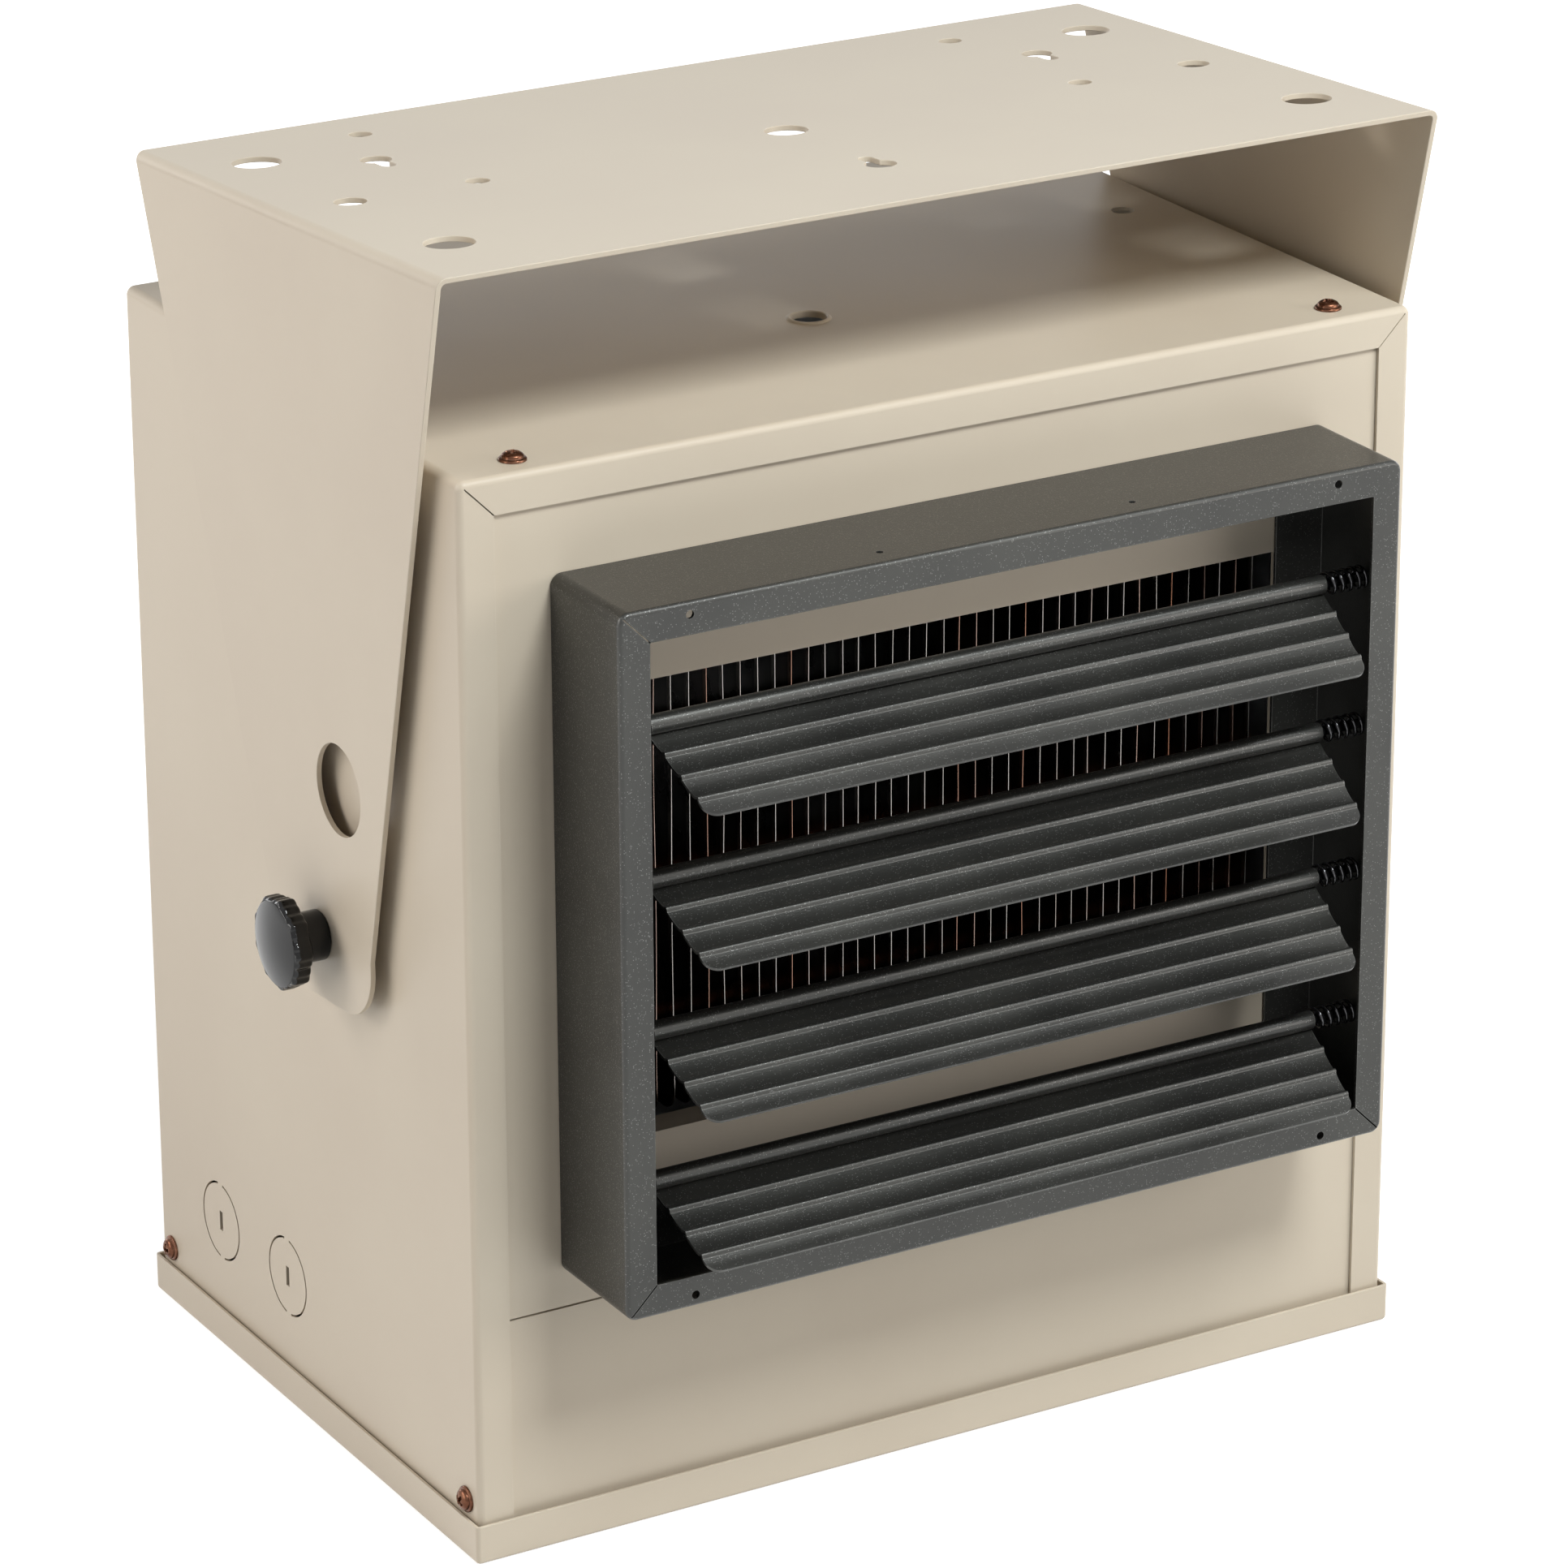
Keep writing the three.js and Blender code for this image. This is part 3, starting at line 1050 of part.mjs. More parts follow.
// Disc thermostat on a strap, about the Y axis: it opens when the outlet gets too hot.
function makeCutout() {
  const disc = CUTOUT_DISC / 2;
  const rim = CUTOUT_RIM / 2;
  const top = -CUTOUT_HEIGHT;
  const strap = CUTOUT_STRAP / 2;
  const tab = CUTOUT_TAB / 2;
  const blade = (x) => box(x - 0.8, x + 0.8, top - 6, top + 4, -3, 3);
  return join(
    turned([[0, top], [2, top], [disc, top + 2], [disc, -2], [rim, -1.5], [rim, 0], [0, 0]], 10),
    box(-strap, strap, -1, 0, -tab, tab),
    blade(-5.2),
    blade(5.2),
  );
}

// Lug for the ground wire: a plate under the deck, an eye along Y and its clamping screw.
function makeGroundLug(x, y) {
  const eye = hungBlock(x, y + LUG_WIDTH / 2, [LUG_WIDTH, LUG_WIDTH, 1, LUG_HEIGHT]);
  const bore = bar("y", y - 1, y + LUG_WIDTH + 1, x, HUNG - LUG_HEIGHT / 2 - 0.5, LUG_BORE, 8);
  return join(
    hungBlock(x, y, LUG_PLATE),
    cut(eye, bore),
    bar("z", HUNG - LUG_SCREW_HEIGHT, HUNG - LUG_HEIGHT + 1, x, y + LUG_WIDTH / 2, LUG_BORE, 8),
  );
}

// Washer-head screw along Y: the seat of its head is at y = 0, and its shank points to +Y.
function makeScrew() {
  const w = SCREW_WASHER / 2;
  const r = SCREW_HEAD / 2;
  const shank = SCREW / 2;
  return turned([[0, -SCREW_HEAD_HEIGHT], [r * 0.6, -SCREW_HEAD_HEIGHT], [r, -0.8], [w, -0.7], [w, 0],
    [shank, 0], [shank, SCREW_LENGTH - 2], [0, SCREW_LENGTH]], 6);
}

// ---- Assembly -----------------------------------------------------------------------------------

piece("cabinet_wrapper", makeWrapper(), BEIGE_PAINT);
piece("outlet_panel", makeOutletPanel(), BEIGE_PAINT);
piece("access_panel", makeAccessPanel(), BEIGE_PAINT);
piece("bottom_tray", makeTray(), BEIGE_PAINT);
piece("rear_panel", makeRearPanel(), BEIGE_PAINT);
piece("chamber_deck", makeDeck(), GALVANISED);

const bracketPivot = new THREE.Group();
bracketPivot.position.set(0, PIVOT_Y, PIVOT_Z);
bracketPivot.rotation.x = -THREE.MathUtils.degToRad(BRACKET_TILT);
HEATER_PARTS.add(bracketPivot);
piece("mounting_bracket", makeBracket(), BEIGE_PAINT, bracketPivot);

[["left", Math.PI], ["right", 0]].forEach(([side, turn]) => {
  const pivot = new THREE.Group();
  pivot.position.set(0, PIVOT_Y, PIVOT_Z);
  pivot.rotation.z = turn;
  HEATER_PARTS.add(pivot);
  piece(`knob_${side}`, makeKnob(), BLACK_PLASTIC, pivot).position.x = ARM_OUTER;
  piece(`pivot_spacer_${side}`, makeSpacer(), BLACK_PLASTIC, pivot);
  piece(`clinch_nut_${side}`, makeNut(), BRIGHT_STEEL, pivot);
});

piece("louvre_frame", makeLouvreFrame(), DARK_POWDER_COAT);
const springFrom = BLADE_HALF + GAP;
const springTo = FRAME_INSIDE - GAP;
for (let i = 0; i < BLADE_COUNT; i++) {
  const pivot = new THREE.Group();
  pivot.position.set(0, BLADE_Y, bladeZ(i));
  HEATER_PARTS.add(pivot);
  const blade = piece(`louvre_blade_${i + 1}`, makeBlade(), DARK_POWDER_COAT, pivot);
  blade.rotation.x = THREE.MathUtils.degToRad(BLADE_TILT);
  const rodHalf = FRAME_INSIDE + SHEET / 2 - SEAT;
  piece(`pivot_rod_${i + 1}`, bar("x", -rodHalf, rodHalf, 0, 0, ROD, 10), BLACK_STEEL, pivot);
  ["right", "left"].forEach((side, k) => {
    const spring = windTube(springLine(springFrom, springTo), SPRING_WIRE, 5);
    piece(`spring_${side}_${i + 1}`, spring, BLACK_STEEL, pivot).rotation.z = k * Math.PI;
  });
}
const gap = leastGap(springLine(springFrom, springTo).slice(1, -1), SPRING_WIRE);
console.log(`louvre springs: least gap between curls ${gap.toFixed(2)} mm`);

piece("heating_element", makeElement(), BRAZED_STEEL);
piece("element_end_plate_left", makeEndPlate(-1), GALVANISED);
piece("element_end_plate_right", makeEndPlate(1), GALVANISED);

const fanLine = new THREE.Group();
fanLine.position.z = FAN_Z;
HEATER_PARTS.add(fanLine);
piece("fan_shroud", makeShroud(), GALVANISED);
piece("fan_propeller", makePropeller(), ALUMINIUM, fanLine).position.y = FAN_Y;
const shaft = bar("y", FAN_Y - FAN_HUB_RIM, MOTOR_FRONT + SHAFT_SEAT - 2, 0, 0, SHAFT, 12);
piece("motor_shaft", shaft, BRIGHT_STEEL, fanLine);
piece("fan_motor", makeMotor(), MOTOR_ENAMEL, fanLine).position.y = MOTOR_FRONT;
piece("fan_guard", makeGuard(), BLACK_STEEL, fanLine).position.y = REAR_OUTER + GAP + GUARD_WIRE / 2;

piece("terminal_block", makeTerminalBlock(TERMINAL_BLOCK_X, CONTROLS_Y), DARK_PHENOLIC);
piece("contactor", makeContactor(CONTACTOR_X, CONTROLS_Y), DARK_PHENOLIC);
piece("control_transformer", makeTransformer(TRANSFORMER_X, CONTROLS_Y), COPPER_WINDING);
piece("ground_lug", makeGroundLug(GROUND_LUG_X, CONTROLS_Y + GROUND_LUG_BACK), BRIGHT_STEEL);
const cutout = piece("thermal_cutout", makeCutout(), DARK_PHENOLIC);
cutout.position.set(END_PLATE_X + SHEET + GAP, BANK_Y + CUTOUT_BACK, OUTLET_Z + TUBE_PITCH / 2);
cutout.rotation.z = Math.PI / 2;

// Screws: where the head sits, and which way its shank points.
const FORWARD = {
  top: [-Math.PI / 2, 0],
  left: [0, -Math.PI / 2],
  right: [0, Math.PI / 2],
  rear: [0, Math.PI],
};
function placeScrew(name, facing, x, y, z) {
  const screw = piece(name, makeScrew(), BROWN_SCREW);
  const [turnX, turnZ] = FORWARD[facing];
  screw.rotation.set(turnX, 0, turnZ);
  screw.position.set(x, y, z);
}
placeScrew("top_screw_left", "top", -TOP_SCREW_X, TOP_SCREW_Y, CABINET_HEIGHT + SEAT);
placeScrew("top_screw_right", "top", TOP_SCREW_X, TOP_SCREW_Y, CABINET_HEIGHT + SEAT);
["front", "rear"].forEach((place, i) => {
  placeScrew(`side_screw_left_${place}`, "left", -HALF - SEAT, SIDE_SCREW_Y[i], SIDE_SCREW_Z);
  placeScrew(`side_screw_right_${place}`, "right", HALF + SEAT, SIDE_SCREW_Y[i], SIDE_SCREW_Z);
});
["lower", "upper"].forEach((place, i) => {
  const z = REAR_SCREW_Z[i];
  placeScrew(`rear_screw_left_${place}`, "rear", -REAR_SCREW_X, CABINET_DEPTH + SEAT, z);
  placeScrew(`rear_screw_right_${place}`, "rear", REAR_SCREW_X, CABINET_DEPTH + SEAT, z);
});
GUARD_EARS.forEach(([x, z], i) => {
  placeScrew(`guard_screw_${i + 1}`, "rear", x, REAR_OUTER + GAP + SHEET + SEAT, z);
});

// The origin is the middle of the footprint, at the height of the tray's underside.
const heater = new THREE.Group();
heater.name = "ceiling_fan_heater";
heater.add(HEATER_PARTS);
heater.updateMatrixWorld(true);
const extent = new THREE.Box3().setFromObject(HEATER_PARTS, true);
const centre = extent.getCenter(new THREE.Vector3());
HEATER_PARTS.position.set(-centre.x, -centre.y, -extent.min.z);

export default heater;
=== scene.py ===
# %% [markdown]
# # Ceiling mounted fan heater
# A heater for a garage or workshop ceiling. A beige steel cabinet tilts in a yoke bracket between
# two clamping knobs. A propeller fan draws air in through a wire guard at the back, blows it through
# a bank of hot fins, and four corrugated louvre blades steer it out at the front.
#
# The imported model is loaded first, as a fixed frame: it says where every part sits and which body it
# moves with. This lesson then dresses it, piece by piece, with finer surfaces and materials.

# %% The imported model
import json
import math

import bpy
import numpy as np
from mathutils import Matrix, Vector


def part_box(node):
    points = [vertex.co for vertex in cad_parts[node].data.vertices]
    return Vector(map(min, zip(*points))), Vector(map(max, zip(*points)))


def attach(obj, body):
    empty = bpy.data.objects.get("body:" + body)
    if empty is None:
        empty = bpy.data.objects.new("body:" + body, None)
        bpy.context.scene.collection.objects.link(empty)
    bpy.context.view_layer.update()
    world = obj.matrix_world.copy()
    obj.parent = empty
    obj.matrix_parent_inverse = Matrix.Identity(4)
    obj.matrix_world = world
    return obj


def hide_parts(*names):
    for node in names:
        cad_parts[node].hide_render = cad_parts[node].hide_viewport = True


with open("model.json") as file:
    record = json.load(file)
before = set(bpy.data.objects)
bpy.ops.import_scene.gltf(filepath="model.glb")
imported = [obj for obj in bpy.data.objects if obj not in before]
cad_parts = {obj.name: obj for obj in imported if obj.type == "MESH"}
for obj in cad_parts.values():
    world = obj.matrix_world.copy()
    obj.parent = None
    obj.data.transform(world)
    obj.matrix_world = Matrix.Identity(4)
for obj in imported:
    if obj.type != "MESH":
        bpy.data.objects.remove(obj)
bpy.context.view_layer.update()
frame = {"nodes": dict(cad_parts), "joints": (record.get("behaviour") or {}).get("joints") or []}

# %% [markdown]
# ## Sizes and places
# Sheet metal is drawn in millimetres, so this lesson works in millimetres too, in the cabinet's own
# coordinates: x = 0 is its middle, y = 0 its front plane and z = 0 the underside of its tray. Sizes
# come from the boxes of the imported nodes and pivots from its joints, so that a piece can't drift away
# from the part that it dresses. Only what a box can't say, such as a fold or a gauge, is given here.

# %% Sizes and places
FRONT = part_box("cabinet_wrapper")[0].y * 1000


def span(node):
    """A node's lowest and highest corners: its box in metres times 1000, counted from the front."""
    return [np.array(corner) * 1000 - (0, FRONT, 0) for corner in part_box(node)]


def pivot(joint):
    """A joint's place: its record in metres times 1000, counted from the front plane."""
    found = next(entry for entry in frame["joints"] if entry["name"] == joint)
    return np.array(found["pos_m"]) * 1000 - (0, FRONT, 0)


HALF, DEPTH, HEIGHT = span("cabinet_wrapper")[1]
SHEET = 1.2  # gauge of the cabinet's steel
FLANGE = 12.5
FOLD = 2.4  # outer radius of its folds
TILT_PIVOT = pivot("bracket_tilt")
FAN_AXIS = pivot("fan_spin")
BLADES = (1, 2, 3, 4)
SIDES = (("left", -1), ("right", 1))
print(f"cabinet {2 * HALF:.1f} x {DEPTH:.1f} x {HEIGHT:.1f} mm, pivot at", np.round(TILT_PIVOT, 1))

# %% [markdown]
# ## A solid as arrays
# A solid is a pair: an array of points, and blocks of faces, one block for each number of corners.
# Whole arrays keep this short and quick. Most shapes here are a grid of points: a row for each step
# along the piece and a column for each step round it, so one function that numbers the quads of a
# grid serves nearly all of them.

# %% Grids, lofts and joined solids
def grid_quads(rows, columns, close_rows=False, close_columns=False):
    """Quads of a grid numbered row by row: i * columns + j and its neighbours at j + 1 and i + 1."""
    i = np.arange(rows if close_rows else rows - 1)[:, None] * columns
    j = np.arange(columns if close_columns else columns - 1)[None, :]
    up, beside = (i + columns) % (rows * columns), (j + 1) % columns
    return np.stack(np.broadcast_arrays(i + j, i + beside, up + beside, up + j), -1).reshape(-1, 4)


def loft(loops, ring=False):
    """Skin through closed loops of equally many points, with caps, or closed into a ring."""
    loops = np.asarray(loops, float)
    count, size = loops.shape[:2]
    blocks = [grid_quads(count, size, ring, True)]
    if not ring:
        cap = np.arange(size)[None]
        blocks += [cap[:, ::-1], cap + (count - 1) * size]
    return loops.reshape(-1, 3), blocks


def sheet_solid(upper, lower):
    """Thick sheet between two grids. A row runs out along the upper and back along the lower one,
    and strips of quads, from column i to i + 1 of both, close the first and the last row."""
    loops = np.concatenate([upper, lower[:, ::-1]], axis=1)
    rows, size = loops.shape[:2]
    i = np.arange(size // 2 - 1)
    strip = np.column_stack([i, i + 1, size - 2 - i, size - 1 - i])
    blocks = [grid_quads(rows, size, False, True), strip[:, ::-1], strip + (rows - 1) * size]
    return loops.reshape(-1, 3), blocks


def outward(solid):
    """Faces turned outwards. A face's area vector, the sum of p x next p, times its middle adds up
    to six volumes, so a sum below zero says that the solid is inside out."""
    points, blocks = solid
    corners = [points[block] for block in blocks]
    areas = [np.cross(c, np.roll(c, -1, 1)).sum(1) for c in corners]
    volume = sum((area * c.mean(1)).sum() for area, c in zip(areas, corners))
    return solid if volume > 0 else (points, [block[:, ::-1] for block in blocks])


def merge(*solids):
    """Many solids as one: points in a row, and face numbers raised by the points before them."""
    solids = [outward(solid) for solid in solids]
    starts = np.cumsum([0, *[len(points) for points, _ in solids]])
    blocks = [block + start for (_, blocks), start in zip(solids, starts) for block in blocks]
    return np.vstack([points for points, _ in solids]), blocks


WELD = 1e-4  # points closer than this, in mm, are one


def welded(solid):
    """Points that coincide become one. A face keeps its distinct corners, or goes if two are left."""
    points, blocks = solid
    keys = np.round(points / WELD).astype(np.int64)
    _, first, index = np.unique(keys, axis=0, return_index=True, return_inverse=True)
    kept = []
    for block in (index.reshape(-1)[block] for block in blocks):
        same = block == np.roll(block, -1, 1)
        for lost in range(block.shape[1] - 2):
            rows = same.sum(1) == lost
            kept.append(block[rows][~same[rows]].reshape(-1, block.shape[1] - lost))
    return points[first], [block for block in kept if len(block)]


print("a 3 by 4 grid has", len(grid_quads(3, 4)), "quads,", len(grid_quads(3, 4, True, True)), "closed")

# %% [markdown]
# ## Outlines
# A press brake folds a flat blank, and a punch cuts its holes, so most outlines are straight lines
# with an arc at each corner. Drawing them flat and then standing them across an axis is how a sheet
# metal worker thinks of them too.

# %% Outlines and prisms
AXES = {"x": (1, 2, 0), "y": (0, 2, 1), "z": (0, 1, 2)}


def flat(points, axis, at):
    """2-D points stood in the plane across an axis, at a distance along it."""
    out = np.full((len(points), 3), float(at))
    out[:, AXES[axis][:2]] = points
    return out


def prism(points, axis, start, end):
    """Outline carried straight along an axis."""
    return loft([flat(points, axis, start), flat(points, axis, end)])


def block(x0, x1, y0, y1, z0, z1):
    """Box between two corners."""
    return prism(np.array([(x0, y0), (x1, y0), (x1, y1), (x0, y1)]), "z", z0, z1)


def whole_turn(steps, first=0.0):
    """Equal angles once round. They start at a share, first, of one step."""
    return (np.arange(steps) + first) / steps * 2 * math.pi


def circle(x, y, diameter, sides=48):
    """Centre plus radius times (cos a, sin a), with a flat on each axis."""
    a = whole_turn(sides, 0.5)
    return np.column_stack([x + diameter / 2 * np.cos(a), y + diameter / 2 * np.sin(a)])


def rod(axis, start, end, a, b, diameter, sides=48):
    """Round bar or hole along an axis through (a, b)."""
    return prism(circle(a, b, diameter, sides), axis, start, end)


def rounded(corners, steps=8):
    """Closed outline through (x, y, r) corners. An arc's middle lies on the bisector, r / sin(half
    the corner's angle) away, and it touches both sides r / tan(half the angle) from the corner."""
    corners = np.asarray(corners, float)
    here, r = corners[:, :2], corners[:, 2:]
    before, after = np.roll(here, 1, 0) - here, np.roll(here, -1, 0) - here
    before /= np.linalg.norm(before, axis=1, keepdims=True)
    after /= np.linalg.norm(after, axis=1, keepdims=True)
    bisector = (before + after) / np.linalg.norm(before + after, axis=1, keepdims=True)
    half = np.arccos(np.clip((before * after).sum(1, keepdims=True), -1, 1)) / 2
    middle = bisector * r / np.sin(half)
    first, last = before * r / np.tan(half) - middle, after * r / np.tan(half) - middle
    start, end = np.arctan2(first[:, 1], first[:, 0]), np.arctan2(last[:, 1], last[:, 0])
    turn = (end - start + math.pi) % (2 * math.pi) - math.pi
    a = start[:, None] + turn[:, None] * np.linspace(0, 1, steps + 1)
    return ((here + middle)[:, None] + r[:, None] * np.stack([np.cos(a), np.sin(a)], -1)).reshape(-1, 2)


def rectangle(x0, x1, y0, y1, r, steps=8):
    """Rectangle with four equal corner radii."""
    return rounded([(x0, y0, r), (x1, y0, r), (x1, y1, r), (x0, y1, r)], steps)


def turning(axis, angle):
    """Rotation matrix about X, Y or Z."""
    return np.array(Matrix.Rotation(angle, 3, axis))


def moved(solid, by=(0, 0, 0), turn=None):
    """A solid turned about the origin and then shifted."""
    points = solid[0] if turn is None else solid[0] @ turn.T
    return points + np.array(by, float), solid[1]


print("a rounded rectangle has", len(rectangle(0, 10, 0, 10, 2)), "points")

# %% [markdown]
# ## From arrays to Blender
# `foreach_set` takes whole arrays, which is far quicker than a list of tuples. Holes and cut-outs are
# exact booleans on temporary objects: a boolean leaves a crisp punched edge, and there is no need to
# work out by hand how the faces around a hole divide.

# %% Meshes and booleans
def fill_mesh(mesh, solid):
    """Points, then corners face after face, then where each face's corners start."""
    points, blocks = solid
    corners = np.concatenate([block.ravel() for block in blocks]).astype(np.intc)
    sizes = np.concatenate([np.full(len(block), block.shape[1]) for block in blocks])
    mesh.vertices.add(len(points))
    mesh.vertices.foreach_set("co", points.astype(np.float32).ravel())
    mesh.loops.add(len(corners))
    mesh.loops.foreach_set("vertex_index", corners)
    mesh.polygons.add(len(sizes))
    mesh.polygons.foreach_set("loop_start", (np.cumsum(sizes) - sizes).astype(np.intc))
    mesh.update(calc_edges=True)
    mesh.validate()


def read_mesh(mesh):
    """The same in reverse, with the faces sorted into blocks by their number of corners."""
    points, corners = np.empty(len(mesh.vertices) * 3, np.float32), np.empty(len(mesh.loops), np.intc)
    starts, sizes = np.empty(len(mesh.polygons), np.intc), np.empty(len(mesh.polygons), np.intc)
    mesh.vertices.foreach_get("co", points)
    mesh.loops.foreach_get("vertex_index", corners)
    mesh.polygons.foreach_get("loop_start", starts)
    mesh.polygons.foreach_get("loop_total", sizes)
    blocks = [corners[starts[sizes == k][:, None] + np.arange(k)] for k in np.unique(sizes)]
    return points.reshape(-1, 3).astype(float), blocks


def plain_object(name, solid):
    """A solid as a Blender object in the scene."""
    mesh = bpy.data.meshes.new(name)
    fill_mesh(mesh, solid)
    obj = bpy.data.objects.new(name, mesh)
    bpy.context.scene.collection.objects.link(obj)
    return obj


def carve(solid, *steps):
    """Exact booleans in turn: each step is an operation and the solid that it uses."""
    body = plain_object("carving", outward(solid))
    tools = [plain_object("tool", outward(tool)) for _, tool in steps]
    for (operation, _), tool in zip(steps, tools):
        change = body.modifiers.new("cut", "BOOLEAN")
        change.operation, change.object, change.solver = operation, tool, "EXACT"
        change.use_self = True
    bpy.context.view_layer.update()
    seen = body.evaluated_get(bpy.context.evaluated_depsgraph_get())
    result = read_mesh(bpy.data.meshes.new_from_object(seen))
    for obj in (body, *tools):
        bpy.data.objects.remove(obj)
    return result


EDGE_ANGLE = math.radians(40)


def soften(obj, edge):
    """A real edge is never sharp: a narrow bevel, edge mm wide, catches the light where faces meet at
    more than the edge angle, and normals weighted by area keep the large faces flat."""
    if edge:
        bevel = obj.modifiers.new("edges", "BEVEL")
        bevel.width, bevel.segments, bevel.limit_method = edge * 0.001, 2, "ANGLE"
        bevel.angle_limit, bevel.harden_normals = EDGE_ANGLE, True
    obj.modifiers.new("normals", "WEIGHTED_NORMAL").keep_sharp = True


def piece(name, solid, material, body, nodes=(), *, edge=0.0, smooth=35):
    """A finished piece: in metres at the origin, riding on a body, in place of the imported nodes.
    Faces that meet at less than the smooth angle, in degrees, shade as one surface."""
    points, blocks = outward(solid)
    obj = plain_object(name, ((points + (0, FRONT, 0)) * 0.001, blocks))
    obj.data.polygons.foreach_set("use_smooth", np.ones(len(obj.data.polygons), bool))
    obj.data.set_sharp_from_angle(angle=math.radians(smooth))
    obj.data.materials.append(material)
    soften(obj, edge)
    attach(obj, body)
    if nodes:
        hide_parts(*nodes)
    print(f"{name}: {len(obj.data.polygons)} faces on {body}")
    return obj


cube_with_hole = carve(block(0, 10, 0, 10, 0, 10), ("DIFFERENCE", rod("z", -1, 11, 5, 5, 4)))
print("a drilled cube has", sum(len(faces) for faces in cube_with_hole[1]), "faces")

# %% [markdown]
# ## Effects that finishes share
# Sprayed enamel has a faint orange peel, powder coat a grain and a few bright flakes, and dust settles
# on what faces up. Handled edges are mixed towards a paler colour: partly where they wear through, and
# partly a painted highlight, as a fold catches the light. Each effect is a node group with named
# inputs, built once, so a material only says how much of it it has. All of them read Object
# coordinates: the pattern sits in the object in real metres, and stays put when the part moves or is
# exported.

# %% Tools for node groups
def new_group(name, inputs, outputs):
    """A node group with float sockets: name and default value for each input, names for outputs."""
    group = bpy.data.node_groups.new(name, "ShaderNodeTree")
    for label, value in inputs.items():
        socket = group.interface.new_socket(label, in_out="INPUT", socket_type="NodeSocketFloat")
        socket.default_value = value
    for label in outputs:
        group.interface.new_socket(label, in_out="OUTPUT", socket_type="NodeSocketFloat")
    return group, group.nodes.new("NodeGroupInput").outputs, group.nodes.new("NodeGroupOutput").inputs


def give(tree, socket, value):
    """A socket gets a link from another socket, or a plain value."""
    if isinstance(value, bpy.types.NodeSocket):
        tree.links.new(value, socket)
    else:
        socket.default_value = value


def maths(tree, operation, *values):
    """One Math node: its result for the values or sockets given."""
    node = tree.nodes.new("ShaderNodeMath")
    node.operation = operation
    for socket, value in zip(node.inputs, values):
        give(tree, socket, value)
    return node.outputs[0]


def remap(tree, value, low, high, to_low=0.0, to_high=1.0):
    """Map Range: low..high becomes to_low..to_high, held inside that range."""
    node = tree.nodes.new("ShaderNodeMapRange")
    for socket, given in zip(node.inputs, (value, low, high, to_low, to_high)):
        give(tree, socket, given)
    return node.outputs[0]


def vector_maths(tree, operation, first, second=None):
    """One Vector Math node: its outputs, of which some operations use Vector and some Value."""
    node = tree.nodes.new("ShaderNodeVectorMath")
    node.operation = operation
    give(tree, node.inputs[0], first)
    if second is not None:
        give(tree, node.inputs["Scale" if operation == "SCALE" else 1], second)
    return node.outputs


def coordinates(tree, kind="Object"):
    """Object is the place of a point in the piece, in metres, and Normal the way its face looks."""
    return tree.nodes.new("ShaderNodeTexCoord").outputs[kind]


def noise(tree, scale, detail=3.0):
    """Noise in object space, about 0.3 to 0.7. The scale is in cells per metre."""
    node = tree.nodes.new("ShaderNodeTexNoise")
    node.inputs["Detail"].default_value = detail
    give(tree, node.inputs["Vector"], coordinates(tree))
    give(tree, node.inputs["Scale"], scale)
    return node.outputs["Fac"]


print("scales are in cells per metre: 1000 is a grain of 1 mm")

# %% Grain, flakes, scuffed edges with a painted highlight, and dust
GRAIN, given, result = new_group("grain", {"Fine": 900.0, "Coarse": 12.0}, ("Height", "Shade"))
give(GRAIN, result["Height"], noise(GRAIN, given["Fine"]))
give(GRAIN, result["Shade"], remap(GRAIN, noise(GRAIN, given["Coarse"], 4.0), 0.32, 0.68))

FLAKE_RADIUS = 0.36  # of a cell
FLAKES, given, result = new_group("bright_flakes", {"Scale": 1500.0, "Share": 0.1}, ("Mask",))
cells = FLAKES.nodes.new("ShaderNodeTexVoronoi")
give(FLAKES, cells.inputs["Vector"], coordinates(FLAKES))
give(FLAKES, cells.inputs["Scale"], given["Scale"])
parts = FLAKES.nodes.new("ShaderNodeSeparateColor")
give(FLAKES, parts.inputs[0], cells.outputs["Color"])
chosen = maths(FLAKES, "LESS_THAN", parts.outputs[0], given["Share"])
core = maths(FLAKES, "LESS_THAN", cells.outputs["Distance"], FLAKE_RADIUS)
give(FLAKES, result["Mask"], maths(FLAKES, "MULTIPLY", chosen, core))

# Paler edges in patches: partly scuffing, partly a painted highlight along folds and corners.
SCUFF_AND_HIGHLIGHT, given, result = new_group("worn_edges", {"Width": 0.0006, "Patches": 60.0}, ("Mask",))
round_normal = SCUFF_AND_HIGHLIGHT.nodes.new("ShaderNodeBevel")
round_normal.samples = 4
give(SCUFF_AND_HIGHLIGHT, round_normal.inputs["Radius"], given["Width"])
flat_normal = SCUFF_AND_HIGHLIGHT.nodes.new("ShaderNodeNewGeometry").outputs["Normal"]
likeness = vector_maths(SCUFF_AND_HIGHLIGHT, "DOT_PRODUCT", round_normal.outputs[0], flat_normal)["Value"]
bend = remap(SCUFF_AND_HIGHLIGHT, likeness, 0.99, 0.86)
patches = remap(SCUFF_AND_HIGHLIGHT, noise(SCUFF_AND_HIGHLIGHT, given["Patches"]), 0.4, 0.6)
give(SCUFF_AND_HIGHLIGHT, result["Mask"], maths(SCUFF_AND_HIGHLIGHT, "MULTIPLY", bend, patches))

